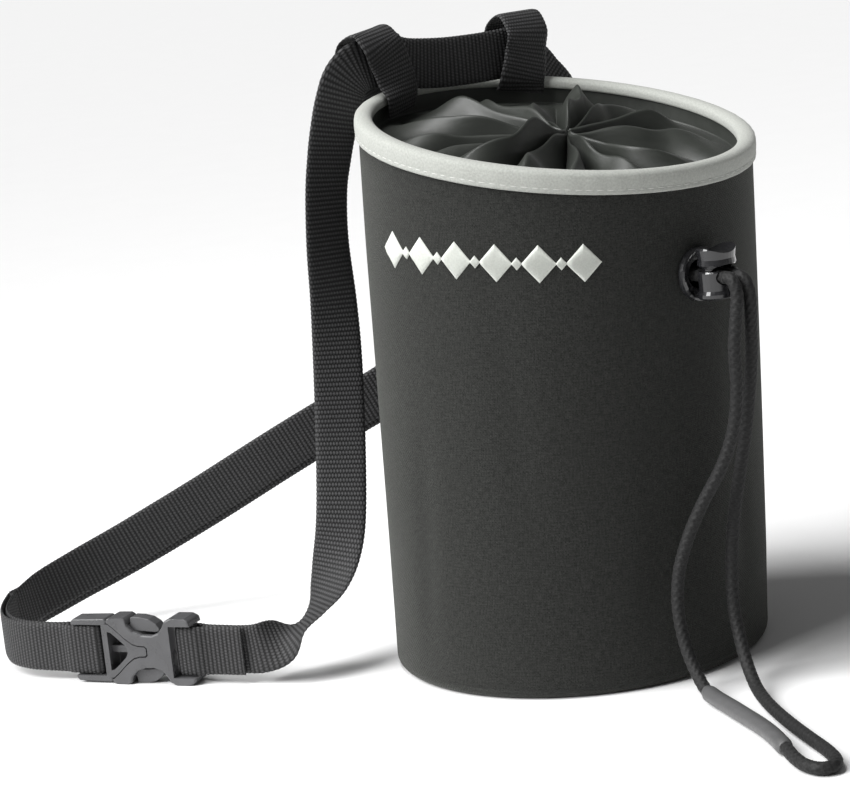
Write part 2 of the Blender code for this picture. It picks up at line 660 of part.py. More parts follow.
# Each loop: sewn on inside the rim, up before the belt, over it, and down the outside.
RIGHT_LOOP = [
    (-0.1, 52.7, 170.9, 0.99, 0.14, 0), (0.9, 51.4, 174.5, 0.93, 0.37, 0),
    (2.2, 51.9, 179.0, 0.88, 0.48, 0), (3.3, 53.2, 184.5, 0.834, 0.552, 0),
    (4.1, 53.8, 190.3, 0.834, 0.552, 0), (1.7, 57.8, 195.7, 0.834, 0.552, 0),
    (-2.0, 63.2, 192.8, 0.834, 0.552, 0), (-3.6, 65.2, 187.0, 0.834, 0.552, 0),
    (-5.0, 64.2, 181.5, 0.87, 0.5, 0), (-6.9, 61.8, 176.0, 0.95, 0.3, 0),
    (-7.0, 60.7, 171.0, 0.97, 0.23, 0), (-7.0, 60.5, 161.0, 0.97, 0.23, 0)]
LEFT_LOOP = [
    (-38.9, 27.8, 170.9, 0.52, 0.85, 0), (-38.1, 26.3, 176.0, 0.6, 0.8, 0.02),
    (-39.4, 26.6, 181.0, 0.74, 0.67, 0.06), (-41.0, 26.5, 187.0, 0.76, 0.64, 0.08),
    (-43.2, 25.2, 193.2, 0.74, 0.66, 0.12), (-46.5, 27.4, 197.2, 0.7, 0.68, 0.12),
    (-50.9, 30.6, 195.0, 0.7, 0.68, 0.12), (-52.9, 32.2, 189.0, 0.7, 0.68, 0.12),
    (-51.8, 33.0, 182.5, 0.65, 0.75, 0.06), (-48.8, 33.4, 178.0, 0.58, 0.8, 0),
    (-46.6, 32.5, 173.5, 0.52, 0.85, 0), (-46.3, 32.2, 161.0, 0.52, 0.85, 0)]


def make_belt_loop(name, route):
    return strap(name, webbing, catmull(in_metres(route), 2))


# ---------------------------------------------------------------- side-release buckle
def buckle_piece(name, mesh, material=buckle_plastic):
    return place(add_object(name, mesh, material), BUCKLE)


def buckle_cutter(name, mesh):
    return make_cutter(name, mesh, BUCKLE)


V_NOTCH = [(-9.4, 9.5), (-8.0, 9.3), (-5.5, 7.3), (-2.6, 4.6), (0.2, 2.6), (2.2, 2.0),
           (4.6, 1.9), (5.4, 1.2)]


def make_socket():
    """The female half: two plates, side walls with windows and a webbing bar."""
    outline = mirrored([
        (-8.6, 10.4), (-7.6, 10.9), (-2.4, 11.0), (-1.5, 10.4), (-1.2, 8.6), (0.8, 6.6),
        (4.0, 5.5), (7.6, 5.4), (9.8, 6.2), (11.4, 8.0), (12.6, 10.2), (14.2, 11.0),
        (19.6, 11.0), (21.2, 10.2), (21.6, 8.8)])
    socket = buckle_piece("buckle_socket", plate_mesh("socket", outline, -4.2, 4.2))
    bevel(socket, 0.7 * MM)
    boolean(socket, buckle_cutter("socket_cavity", box_mesh(
        "socket_cavity", (-9.5, -8.9, -2.5), (11.2, 8.9, 2.5))))
    boolean(socket, buckle_cutter("socket_slot", box_mesh(
        "socket_slot", (13.9, -8.5, -6), (16.9, 8.5, 6))))
    for side in (1, -1):
        low, high = sorted((side * 1.5, side * 6.0))
        boolean(socket, buckle_cutter(f"bar_relief_{low:.0f}", box_mesh(
            "bar_relief", (16.5, -8.5, low), (23, 8.5, high))))
    boolean(socket, buckle_cutter("socket_notch", plate_mesh(
        "socket_notch", mirrored(V_NOTCH), 2.0, 6.0)))


def make_plug():
    """The male half: a frame with two webbing bars, and a Y-shaped guide."""
    frame = buckle_piece("buckle_plug", plate_mesh("plug_frame", mirrored([
        (-22.0, 9.4), (-21.2, 10.3), (-9.6, 10.6), (-8.9, 10.2)]), -3.4, 3.4))
    bevel(frame, 0.6 * MM)
    for name, low, high in (("end_window", -20.2, -17.2), ("ladder_window", -13.8, -10.9)):
        boolean(frame, buckle_cutter(name, box_mesh(
            name, (low, -8.5, -6), (high, 8.5, 6))))
    for side in (1, -1):
        low, high = sorted((side * 1.5, side * 6.0))
        boolean(frame, buckle_cutter(f"ladder_relief_{low:.0f}", box_mesh(
            "ladder_relief", (-23, -8.5, low), (-13.5, 8.5, high))))
    guide = mirrored([(-9.6, 8.9), (-7.9, 8.8), (-5.4, 6.8), (-2.5, 4.1), (0.2, 2.15),
                      (2.2, 1.6), (4.4, 1.5), (4.9, 0.9)])
    recess = mirrored([(-8.6, 6.4), (-7.4, 6.2), (-5.0, 4.2), (-2.6, 2.0), (-1.9, 0.7)])
    plate = buckle_cutter("guide_plate", plate_mesh("guide_plate", guide, 2.65, 4.0))
    boolean(plate, buckle_cutter("guide_recess", plate_mesh(
        "guide_recess", recess, 2.0, 6.0)))
    boolean(frame, plate, "UNION")
    boolean(frame, buckle_cutter("guide_rib", box_mesh(
        "guide_rib", (-9.2, -1.1, -2.1), (5.0, 1.1, 1.2))), "UNION")


def make_latch(name, side):
    """A latch arm: its root at the plug's base, a thumb pad with a catch shoulder."""
    hinge = Vector((-8.2, side * 7.3, 0)) * MM
    outline = [(-8.5, 6.4), (-8.5, 8.2), (-1.4, 8.3), (-0.6, 8.8), (-0.5, 10.7),
               (0.3, 11.0), (3.2, 10.9), (6.2, 10.3), (8.6, 8.8), (9.8, 7.2),
               (9.6, 6.4), (8.0, 6.0), (-0.5, 6.5)]
    points = [(x, side * y) for x, y in outline]
    mesh = plate_mesh(name, points, -2.2, 2.2)
    mesh.transform(Matrix.Translation(-hinge))
    arm = add_object(name, mesh, buckle_plastic)
    place(arm, BUCKLE @ Matrix.Translation(hinge))
    bevel(arm, 0.35 * MM)
    return arm


# ---------------------------------------------------------------- build
shell_tube, liner_tube = make_bag()
make_closure()
make_eyelet(shell_tube, liner_tube)
make_cord_lock()
make_drawcord()
make_belt()
make_belt_loop("belt_loop_right", RIGHT_LOOP)
make_belt_loop("belt_loop_left", LEFT_LOOP)
make_socket()
make_plug()
make_latch("latch_arm_upper", 1)
make_latch("latch_arm_lower", -1)
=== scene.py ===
"""The looks of a climber's chalk bag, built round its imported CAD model.

Metres in the CAD model's frame: origin at the middle of the base, +Z up, -Y the emblem
side, +X towards the cord lock, and the waist belt runs out to -X.
"""
import math

import bmesh
import bpy
import numpy as np
from mathutils import Euler, Matrix, Vector


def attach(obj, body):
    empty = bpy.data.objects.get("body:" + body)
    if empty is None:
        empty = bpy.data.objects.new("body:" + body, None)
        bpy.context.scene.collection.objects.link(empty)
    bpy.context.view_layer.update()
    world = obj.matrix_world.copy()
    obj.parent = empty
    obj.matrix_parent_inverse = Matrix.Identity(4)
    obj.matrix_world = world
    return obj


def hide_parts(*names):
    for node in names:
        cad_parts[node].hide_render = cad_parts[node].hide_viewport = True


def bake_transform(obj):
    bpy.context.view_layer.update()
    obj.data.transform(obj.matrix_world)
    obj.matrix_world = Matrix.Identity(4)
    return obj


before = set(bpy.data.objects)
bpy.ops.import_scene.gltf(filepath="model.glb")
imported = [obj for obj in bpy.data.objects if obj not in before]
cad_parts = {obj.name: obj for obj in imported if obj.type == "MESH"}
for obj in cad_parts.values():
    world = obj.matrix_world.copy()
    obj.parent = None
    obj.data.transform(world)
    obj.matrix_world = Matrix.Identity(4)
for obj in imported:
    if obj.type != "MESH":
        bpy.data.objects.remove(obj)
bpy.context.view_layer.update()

MM = 0.001
TAU = 2 * math.pi

# ------------ sizes, as in the CAD
BASE_RADIUS = 58.9 * MM         # outside of the shell at the floor
SHELL_RIM_RADIUS = 60.25 * MM
RIM_HEIGHT = 166.4 * MM         # mean height of the binding's top edge
RIM_SLOPE = 0.195
RIM_HIGH_ANGLE = math.radians(136)
RIM_LEAN = 7.0 * MM
BINDING_HEIGHT = 7.0 * MM       # its outer leg
BINDING_INNER_LEG = 3.6 * MM
SHELL_THICKNESS = 0.8 * MM
LINER_INSET = 2.1 * MM          # shell, hoop and their gaps
LINER_THICKNESS = 0.6 * MM
SLEEVE_INSET = 2.95 * MM
BINDING_OUTSET = 1.05 * MM
BINDING_INSET = 4.5 * MM
GATHER_CENTRE = np.array((10.5, -2.0, 158.0)) * MM
GATHER_RADIUS = 4.5 * MM
WEBBING_WIDTH = 16.0 * MM
WEBBING_THICKNESS = 1.2 * MM
LAYER_PITCH = 0.9 * MM
BAR_PITCH = 2.4                 # mm, webbing centre to bar centre round a bar
BELT_RIB = 1.45 * MM
LOOP_RIB = 1.25 * MM
TAIL_SHIFT = 2.5 * MM
CORD_RADIUS = 1.9 * MM
CORD_SPACING = 2.05 * MM
SPLICE_RADIUS = 2.5 * MM
EYELET_ANGLE = math.radians(308)
EYELET_HEIGHT = 122.2 * MM
EYELET_HOLE = 5.6 * MM
BUCKLE_CENTRE = Vector((-141.4, 8.9, 11.0)) * MM
BUCKLE_YAW = math.radians(-24)
UP = (0.0, 0.0, 1.0)

rng = np.random.default_rng(7)


# ------------ the bag's own surface
def rim_height(angle):
    return RIM_HEIGHT + RIM_SLOPE * SHELL_RIM_RADIUS * np.cos(angle - RIM_HIGH_ANGLE)


def wall_point(angle, height, inset=0.0):
    """Points of the wall at these angles and heights, inset towards the axis."""
    angle, height, inset = np.broadcast_arrays(angle, height, inset)
    share = height / rim_height(angle)
    radius = BASE_RADIUS + (SHELL_RIM_RADIUS - BASE_RADIUS) * share - inset
    centre = RIM_LEAN * height / RIM_HEIGHT
    return np.stack([centre + radius * np.cos(angle), radius * np.sin(angle), height], -1)


def below_rim(angle, depth, inset=0.0):
    return wall_point(angle, rim_height(angle) - depth, inset)


def smooth_step(low, high, value):
    t = np.clip((value - low) / (high - low), 0, 1)
    return t * t * (3 - 2 * t)


def catmull(route, steps):
    """A smooth curve through the route's own points (each a list of numbers)."""
    ends = [route[0]] + list(route) + [route[-1]]
    samples = []
    for a, b, c, d in zip(ends, ends[1:], ends[2:], ends[3:]):
        for step in range(steps):
            t = step / steps
            samples.append([
                0.5 * (2 * q + (r - p) * t + (2 * p - 5 * q + 4 * r - s) * t * t
                       + (3 * q - p - 3 * r + s) * t * t * t)
                for p, q, r, s in zip(a, b, c, d)])
    samples.append(list(route[-1]))
    return samples


def evenly(samples, step):
    """The same line, sampled again at nearly equal steps of its length."""
    samples = np.asarray(samples, float)
    lengths = np.linalg.norm(np.diff(samples[:, :3], axis=0), axis=1)
    along = np.concatenate([[0], np.cumsum(lengths)])
    count = max(2, round(along[-1] / step) + 1)
    wanted = np.linspace(0, along[-1], count)
    return np.stack([np.interp(wanted, along, samples[:, k])
                     for k in range(samples.shape[1])], 1), wanted


def full_turn(columns):
    return np.linspace(0, TAU, columns, endpoint=False)


def paired(first, second):
    """Two arrays, stretched to one shape, as one array of pairs."""
    return np.stack(np.broadcast_arrays(first, second), -1)


def circle(radius, turn, height):
    return np.stack([radius * np.cos(turn), radius * np.sin(turn), height + 0 * turn], -1)


def unit(vectors):
    return vectors / np.linalg.norm(vectors, axis=-1, keepdims=True)


# ------------ mesh helpers
def linked(name, data):
    thing = bpy.data.objects.new(name, data)
    bpy.context.scene.collection.objects.link(thing)
    return thing


def add_mesh(name, points, faces, material, uvs=None):
    """An object from points and faces; uvs holds one (u, v) for each face corner."""
    mesh = bpy.data.meshes.new(name)
    mesh.from_pydata(np.asarray(points, float).reshape(-1, 3).tolist(), [], faces)
    if uvs is not None:
        layer = mesh.uv_layers.new(name="cloth")
        layer.data.foreach_set("uv", np.asarray(uvs, np.float32).ravel())
    mesh.shade_smooth()
    mesh.materials.append(material)
    return linked(name, mesh)


def lofted(name, rings, uv, material, wrap=False, around=False, caps=False):
    """A surface over a grid of points (rows, columns, 3) with uv (rows, columns, 2).

    wrap joins the last column to the first, around joins the last row to the first, and
    caps close the first and last rows. Joined seams take their uv one step further on.
    """
    rings, uv = np.asarray(rings, float), np.asarray(uv, float)
    rows, columns = rings.shape[:2]
    index = np.arange(rows * columns).reshape(rows, columns)
    if wrap:
        index = np.concatenate([index, index[:, :1]], 1)
        uv = np.concatenate([uv, 2 * uv[:, -1:] - uv[:, -2:-1]], 1)
    if around:
        index = np.concatenate([index, index[:1]], 0)
        uv = np.concatenate([uv, 2 * uv[-1:] - uv[-2:-1]], 0)
    corners = [index[:-1, :-1], index[:-1, 1:], index[1:, 1:], index[1:, :-1]]
    faces = np.stack([c.ravel() for c in corners], 1).tolist()
    marks = [uv[:-1, :-1], uv[:-1, 1:], uv[1:, 1:], uv[1:, :-1]]
    uvs = np.stack([m.reshape(-1, 2) for m in marks], 1).reshape(-1, 2).tolist()
    if caps:
        for row, order in ((0, -1), (rows - 1, 1)):
            loop = list(range(columns))[::order]
            faces.append([int(index[row, c]) for c in loop])
            uvs += [uv[row, c].tolist() for c in loop]
    return add_mesh(name, rings, faces, material, uvs)


def face_outwards(thing):
    bm = bmesh.new()
    bm.from_mesh(thing.data)
    bmesh.ops.recalc_face_normals(bm, faces=bm.faces)
    bm.to_mesh(thing.data)
    bm.free()
    return thing


def joined(name, things):
    """Several mesh objects made into one."""
    bm = bmesh.new()
    for thing in things:
        bm.from_mesh(thing.data)
    mesh = bpy.data.meshes.new(name)
    bm.to_mesh(mesh)
    bm.free()
    mesh.materials.append(things[0].data.materials[0])
    mesh.shade_smooth()
    for thing in things:
        bpy.data.objects.remove(thing, do_unlink=True)
    return linked(name, mesh)


# ------------ materials
class Nodes:
    """Short ways to add shader nodes to one material."""

    def __init__(self, name, colour, roughness, **sockets):
        self.material = bpy.data.materials.new(name)
        self.material.use_nodes = True
        self.tree = self.material.node_tree
        self.shader = self.tree.nodes["Principled BSDF"]
        self.shader.inputs["Base Color"].default_value = (*colour, 1)
        self.shader.inputs["Roughness"].default_value = roughness
        for socket, value in sockets.items():
            self.shader.inputs[socket.replace("_", " ")].default_value = value

    def add(self, kind, **inputs):
        node = self.tree.nodes.new(kind)
        for key, value in inputs.items():
            self.set(node.inputs[key.replace("_", " ")], value)
        return node

    def set(self, socket, value):
        if isinstance(value, bpy.types.NodeSocket):
            self.tree.links.new(value, socket)
        else:
            socket.default_value = value

    def calc(self, operation, a, b=0.0, c=0.0):
        """The result of one maths node."""
        node = self.tree.nodes.new("ShaderNodeMath")
        node.operation = operation
        for socket, value in zip(node.inputs, (a, b, c)):
            self.set(socket, value)
        return node.outputs[0]

    def cloth_uv(self, scale=(1, 1, 1), rotation=0.0):
        """The piece's own cloth coordinates, in metres times the scale."""
        uv = self.tree.nodes.new("ShaderNodeUVMap")
        uv.uv_map = "cloth"
        return self.mapped(uv.outputs[0], scale, rotation)

    def place(self):
        """The point's own place in metres, for pieces with no cloth coordinates."""
        where = self.tree.nodes.new("ShaderNodeTexCoord")
        return self.mapped(where.outputs["Object"])

    def mapped(self, vector, scale=(1, 1, 1), rotation=0.0):
        return self.add("ShaderNodeMapping", Vector=vector, Scale=scale,
                        Rotation=(0, 0, rotation)).outputs[0]

    def noise(self, vector, scale, detail=3.0, roughness=0.55):
        return self.add("ShaderNodeTexNoise", Vector=vector, Scale=scale, Detail=detail,
                        Roughness=roughness).outputs[0]

    def ramp(self, value, *stops):
        """Colours (or greys) at places along 0 to 1."""
        node = self.tree.nodes.new("ShaderNodeValToRGB")
        elements = node.color_ramp.elements
        while len(elements) < len(stops):
            elements.new(0.5)
        for element, (at, colour) in zip(elements, stops):
            element.position = at
            grey = isinstance(colour, (int, float))
            element.color = (colour, colour, colour, 1) if grey else (*colour, 1)
        self.set(node.inputs[0], value)
        return node.outputs[0]

    def mix(self, share, a, b):
        node = self.tree.nodes.new("ShaderNodeMix")
        node.data_type = "RGBA"
        self.set(node.inputs[0], share)
        for socket, value in ((node.inputs[6], a), (node.inputs[7], b)):
            self.set(socket, value if isinstance(value, bpy.types.NodeSocket)
                     else (*value, 1))
        return node.outputs[2]

    def weave(self, pitch):
        """A plain weave's height, 0 to 1, and which yarn is on top; pitch in metres."""
        uv = self.cloth_uv((1 / pitch, 1 / pitch, 1))
        parts = self.add("ShaderNodeSeparateXYZ", Vector=uv).outputs
        half = [self.calc("SINE", self.calc("MULTIPLY", parts[k], math.pi))
                for k in (0, 1)]
        crossing = self.calc("MULTIPLY", half[0], half[1])
        sizes = [self.calc("ABSOLUTE", h) for h in half]
        over = self.calc("GREATER_THAN", crossing, 0.0)
        warp = self.calc("MULTIPLY", over, sizes[0])
        weft = self.calc("MULTIPLY", self.calc("SUBTRACT", 1.0, over), sizes[1])
        return self.calc("ADD", warp, weft), over

    def colour(self, value):
        self.set(self.shader.inputs["Base Color"], value)

    def rough(self, value):
        self.set(self.shader.inputs["Roughness"], value)

    def bump(self, height, distance, strength=1.0):
        """Bumps this high in metres; later calls lie on top of earlier ones."""
        node = self.add("ShaderNodeBump", Strength=strength, Distance=distance,
                        Height=height)
        before = self.shader.inputs["Normal"].links
        if before:
            self.tree.links.new(before[0].from_socket, node.inputs["Normal"])
        self.tree.links.new(node.outputs[0], self.shader.inputs["Normal"])


def melange_material():
    """Plain-woven polyester of dark and light yarns that show as short streaks."""
    n = Nodes("melange_weave", (0.03, 0.03, 0.028), 0.86, Sheen_Weight=0.2,
              Sheen_Roughness=0.42, Specular_IOR_Level=0.2)
    n.shader.inputs["Sheen Tint"].default_value = (0.8, 0.82, 0.76, 1)
    height, over = n.weave(0.56 * MM)
    weft = n.noise(n.cloth_uv((420, 1900, 1)), 1.0, 2.0)
    warp = n.noise(n.cloth_uv((1900, 420, 1)), 1.0, 2.0)
    yarns = n.mix(over, n.ramp(weft, (0.35, 0.25), (0.7, 1.0)),
                  n.ramp(warp, (0.35, 0.2), (0.72, 1.0)))
    cloud = n.noise(n.cloth_uv(), 55.0, 3.0)
    dark, light = (0.002, 0.0021, 0.0019), (0.034, 0.035, 0.0325)
    base = n.mix(yarns, dark, light)
    n.colour(n.mix(n.ramp(cloud, (0.35, 0.0), (0.65, 0.2)), base, (0.016, 0.0165, 0.0152)))
    n.bump(height, 0.10 * MM, 0.7)
    n.bump(weft, 0.05 * MM, 0.5)
    return n.material


def fleece_material():
    n = Nodes("brushed_fleece", (0.09, 0.09, 0.085), 0.95, Sheen_Weight=0.6)
    nap = n.noise(n.place(), 900.0, 4.0, 0.7)
    tufts = n.noise(n.place(), 240.0, 2.0)
    n.colour(n.mix(nap, (0.05, 0.05, 0.047), (0.15, 0.15, 0.14)))
    n.bump(tufts, 0.5 * MM, 0.6)
    n.bump(nap, 0.25 * MM, 0.8)
    return n.material


def tape_material():
    """Fine woven tape, a little uneven in tone."""
    n = Nodes("binding_weave", (0.45, 0.46, 0.43), 0.8, Sheen_Weight=0.2,
              Sheen_Roughness=0.4)
    height, _ = n.weave(0.42 * MM)
    fibres = n.noise(n.cloth_uv((1500, 1500, 1)), 1.0, 3.0)
    n.colour(n.mix(n.ramp(fibres, (0.3, 0.0), (0.7, 1.0)),
                   (0.33, 0.342, 0.315), (0.44, 0.45, 0.42)))
    n.bump(height, 0.06 * MM, 0.7)
    n.bump(fibres, 0.08 * MM, 0.5)
    return n.material


def nylon_material():
    """Thin coated nylon with a soft sheen and a fine flat weave."""
    n = Nodes("sleeve_taffeta", (0.025, 0.028, 0.024), 0.46, Sheen_Weight=0.06,
              Sheen_Roughness=0.35)
    height, _ = n.weave(0.36 * MM)
    crush = n.noise(n.cloth_uv((60, 25, 1)), 3.0, 4.0, 0.6)
    n.rough(n.ramp(crush, (0.3, 0.4), (0.7, 0.54)))
    n.colour(n.mix(crush, (0.019, 0.022, 0.0185), (0.032, 0.035, 0.030)))
    n.bump(crush, 0.3 * MM, 0.45)
    n.bump(height, 0.03 * MM, 0.4)
    return n.material


def webbing_material(name, pitch, light):
    """Polyester webbing: ribs across the strip, each a row of small warp floats."""
    n = Nodes(name, (0.03, 0.03, 0.031), 0.62, Sheen_Weight=0.06, Sheen_Roughness=0.4,
              Specular_IOR_Level=0.3)
    yarn = 1.0 * MM
    parts = n.add("ShaderNodeSeparateXYZ", Vector=n.cloth_uv()).outputs
    row = n.calc("COSINE", n.calc("MULTIPLY", parts[0], math.pi / pitch))
    row = n.calc("ABSOLUTE", row)
    shift = n.calc("FLOOR", n.calc("MULTIPLY_ADD", parts[0], 1 / pitch, 0.5))
    floats = n.calc("COSINE", n.calc("MULTIPLY_ADD", parts[1], TAU / yarn,
                                     n.calc("MULTIPLY", shift, math.pi)))
    floats = n.calc("MULTIPLY_ADD", floats, 0.5, 0.5)
    fuzz = n.noise(n.cloth_uv((900, 2600, 1)), 1.0, 2.0)
    # Painted light: the tone paints the rib crests and the warp floats' tops lighter as
    # highlights, and the grooves between the ribs darker as shade; only the fuzz is random
    # tone.
    tone = n.calc("MULTIPLY", n.calc("MULTIPLY", row, row),
                  n.calc("MULTIPLY_ADD", floats, 0.5, 0.5))
    tone = n.calc("MULTIPLY", tone, n.calc("MULTIPLY_ADD", fuzz, 1.2, 0.25))
    n.colour(n.mix(tone, (0.008, 0.008, 0.0082), light))
    n.bump(floats, 0.14 * MM, 0.8)
    n.bump(fuzz, 0.05 * MM, 0.4)
    return n.material


def braid_material():
    """Tightly braided cord: threads cross in two directions round it."""
    n = Nodes("cord_braid_fine", (0.012, 0.012, 0.012), 0.66, Sheen_Weight=0.06,
              Sheen_Roughness=0.4, Specular_IOR_Level=0.3)
    fuzz = n.noise(n.cloth_uv((2600, 900, 1), math.radians(35)), 1.0, 2.0)
    n.colour(n.mix(n.ramp(fuzz, (0.3, 0.0), (0.75, 1.0)),
                   (0.004, 0.004, 0.0042), (0.024, 0.024, 0.024)))
    n.bump(fuzz, 0.06 * MM, 0.5)
    return n.material


def shrink_material():
    n = Nodes("shrink_tube", (0.085, 0.085, 0.086), 0.42, Specular_IOR_Level=0.5)
    scuff = n.noise(n.place(), 700.0, 4.0, 0.7)
    n.rough(n.ramp(scuff, (0.3, 0.34), (0.7, 0.6)))
    n.colour(n.mix(scuff, (0.065, 0.065, 0.066), (0.105, 0.105, 0.106)))
    n.bump(scuff, 0.06 * MM, 0.4)
    return n.material


def moulded_material(name, colour, roughness, spark=0.08, coat=0.0):
    """Moulded plastic: a fine spark-eroded texture, with small polished wear."""
    n = Nodes(name, colour, roughness, Coat_Weight=coat, Coat_Roughness=0.12)
    grain = n.noise(n.place(), 2600.0, 2.0)
    wear = n.noise(n.place(), 150.0, 3.0)
    n.rough(n.ramp(wear, (0.35, max(roughness - 0.08, 0.05)), (0.7, roughness + 0.1)))
    lighter = tuple(min(1.0, c * 1.35 + 0.004) for c in colour)
    n.colour(n.mix(n.ramp(wear, (0.4, 0.0), (0.75, 0.6)), colour, lighter))
    n.bump(grain, spark * MM, 0.35)
    return n.material


def thread_material(name, dark, light):
    """Twisted sewing or embroidery thread with a silky shine."""
    n = Nodes(name, light, 0.5, Sheen_Weight=0.3, Sheen_Roughness=0.3)
    twist = n.noise(n.place(), 1800.0, 2.0)
    n.colour(n.mix(twist, dark, light))
    n.bump(twist, 0.08 * MM, 0.6)
    return n.material


def steel_material():
    n = Nodes("spring_wire", (0.6, 0.6, 0.6), 0.3, Metallic=1.0)
    drawn = n.noise(n.place(), 1500.0, 3.0)
    n.rough(n.ramp(drawn, (0.3, 0.22), (0.7, 0.4)))
    return n.material


# ------------ camera, light, floor
CAMERA_PLACE = (-0.0413, -0.8819, 0.2651)
CAMERA_PITCH, CAMERA_ROLL = math.radians(78.5), math.radians(-6.16)
LENS, SENSOR = 122.0, 36.0      # in mm, as Blender has them
SKY_STRENGTH = 0.13


def make_camera():
    data = bpy.data.cameras.new("camera")
    data.lens = LENS
    data.sensor_width = SENSOR
    camera = linked("camera", data)
    camera.matrix_world = (Matrix.Translation(CAMERA_PLACE)
                           @ Matrix.Rotation(CAMERA_PITCH, 4, "X")
                           @ Matrix.Rotation(CAMERA_ROLL, 4, "Z"))
    bpy.context.scene.camera = camera


def make_lamp(name, kind, energy, aim_from, aim_at=(0, 0, 0.08), **settings):
    data = bpy.data.lights.new(name, kind)
    data.energy = energy
    for key, value in settings.items():
        setattr(data, key, value)
    lamp = linked(name, data)
    lamp.location = aim_from
    direction = Vector(aim_at) - Vector(aim_from)
    lamp.rotation_euler = direction.to_track_quat("-Z", "Y").to_euler()


def make_studio():
    world = bpy.data.worlds.new("studio")
    world.use_nodes = True
    sky = world.node_tree.nodes["Background"].inputs
    sky["Color"].default_value = (1, 1, 1, 1)
    sky["Strength"].default_value = SKY_STRENGTH
    bpy.context.scene.world = world
    make_lamp("key", "SUN", 4.4, (-1.0, -0.3, 0.9), (0, 0, 0), angle=math.radians(45))
    make_lamp("side_box", "AREA", 0.9, (-0.75, -0.35, 0.35), size=0.4)
    make_lamp("top_box", "AREA", 3.0, (-0.2, -0.05, 0.85), size=0.2)

    paint = Nodes("floor_paint", (0.9, 0.9, 0.9), 0.9)
    speck = paint.noise(paint.place(), 30.0, 2.0)
    paint.colour(paint.mix(speck, (0.89, 0.89, 0.89), (0.91, 0.91, 0.91)))
    reach, clearance = 9.0, 0.05 * MM
    corners = [(-reach, -reach, 0), (reach, -reach, 0), (reach, reach, 0),
               (-reach, reach, 0)]
    floor = add_mesh("floor", corners, [(0, 1, 2, 3)], paint.material)
    floor.location.z = -clearance
    bpy.context.scene.view_settings.view_transform = "Standard"


# ------------ drawcord
# One strand's route from the lock's front to the splice, and the other back, in mm.
FRONT_STRAND = [
    (48.9, -59.35, 122.2), (50.1, -61.1, 121.9), (51.0, -62.4, 120.1),
    (51.3, -63.0, 116.6), (50.4, -63.2, 110.5), (49.2, -62.8, 101.0),
    (49.1, -61.6, 90.0), (47.2, -60.6, 77.5), (42.9, -60.0, 66.5), (36.3, -59.8, 55.8),
    (31.0, -59.8, 45.5), (27.4, -60.2, 35.0), (26.3, -61.4, 24.5), (27.4, -64.0, 14.0),
    (29.6, -68.6, 6.6), (31.6, -74.6, 3.0)]
SPLICE_ROUTE = [
    (31.6, -74.6, 3.0), (34.2, -83.0, 2.65), (38.0, -94.5, 2.6), (41.7, -106.0, 2.6),
    (44.6, -118.0, 2.6), (46.6, -130.0, 2.6)]
BACK_STRAND = [
    (46.6, -130.0, 2.6), (47.8, -137.0, 2.2), (49.8, -143.6, 2.0), (53.2, -147.6, 2.0),
    (56.9, -146.9, 2.0), (58.4, -142.0, 2.0), (57.3, -133.5, 2.0), (54.4, -122.0, 2.0),
    (51.4, -109.5, 2.0), (48.9, -97.0, 2.0), (47.0, -85.0, 2.2), (45.7, -75.0, 3.6),
    (44.6, -67.0, 8.0), (43.7, -61.3, 15.0), (43.1, -57.6, 24.5), (44.0, -55.5, 37.0),
    (46.0, -54.5, 50.5), (49.0, -54.0, 64.0), (51.5, -54.6, 75.5), (53.4, -56.3, 88.0),
    (54.6, -58.4, 98.5), (55.0, -59.9, 108.2), (55.3, -60.6, 115.4),
    (54.8, -60.2, 119.6), (53.6, -58.7, 121.8), (52.15, -56.83, 122.2)]
INNER_STRAND = [(24.0, -11.5, 152.3), (27.0, -19.5, 149.0), (30.0, -27.0, 144.5),
                (32.6, -32.8, 137.5), (34.0, -35.6, 130.0), (35.6, -37.8, 124.6)]


def tube_rings(line, radii, columns):
    """Rings round a line, carried along it with as little twist as can be."""
    line = np.asarray(line, float)
    tangents = unit(np.gradient(line, axis=0))
    side = np.cross(tangents[0], (0.3, 0.2, 1.0))
    sides = []
    for tangent in tangents:
        side = unit(side - tangent * (side @ tangent))
        sides.append(side)
    sides = np.array(sides)
    others = np.cross(tangents, sides)
    turn = full_turn(columns)
    ring = np.cos(turn)[:, None] * sides[:, None] + np.sin(turn)[:, None] * others[:, None]
    return line[:, None] + ring * np.asarray(radii)[..., None], turn


def braided_tube(name, line, radius, material):
    """A braided cord: thread bundles stand proud where they cross over."""
    step, columns = 0.42 * MM, 28
    bundles, lay = 6, 7.5 * MM
    proud, sunk, whipping = 0.2 * MM, 0.17 * MM, 0.8 * MM
    line, along = evenly(line, step)
    turn = full_turn(columns)
    climb = bundles * 0.5 * (TAU / lay) * along[:, None]
    crossing = np.maximum(np.cos(bundles * turn + climb), np.cos(bundles * turn - climb))
    ends = smooth_step(0, whipping, along) * smooth_step(0, whipping, along[-1] - along)
    radii = radius + (crossing * proud - sunk) * ends[:, None]
    rings, _ = tube_rings(line, radii, columns)
    uv = paired(along[:, None], turn * radius)
    return lofted(name, rings, uv, material, wrap=True, caps=True), line


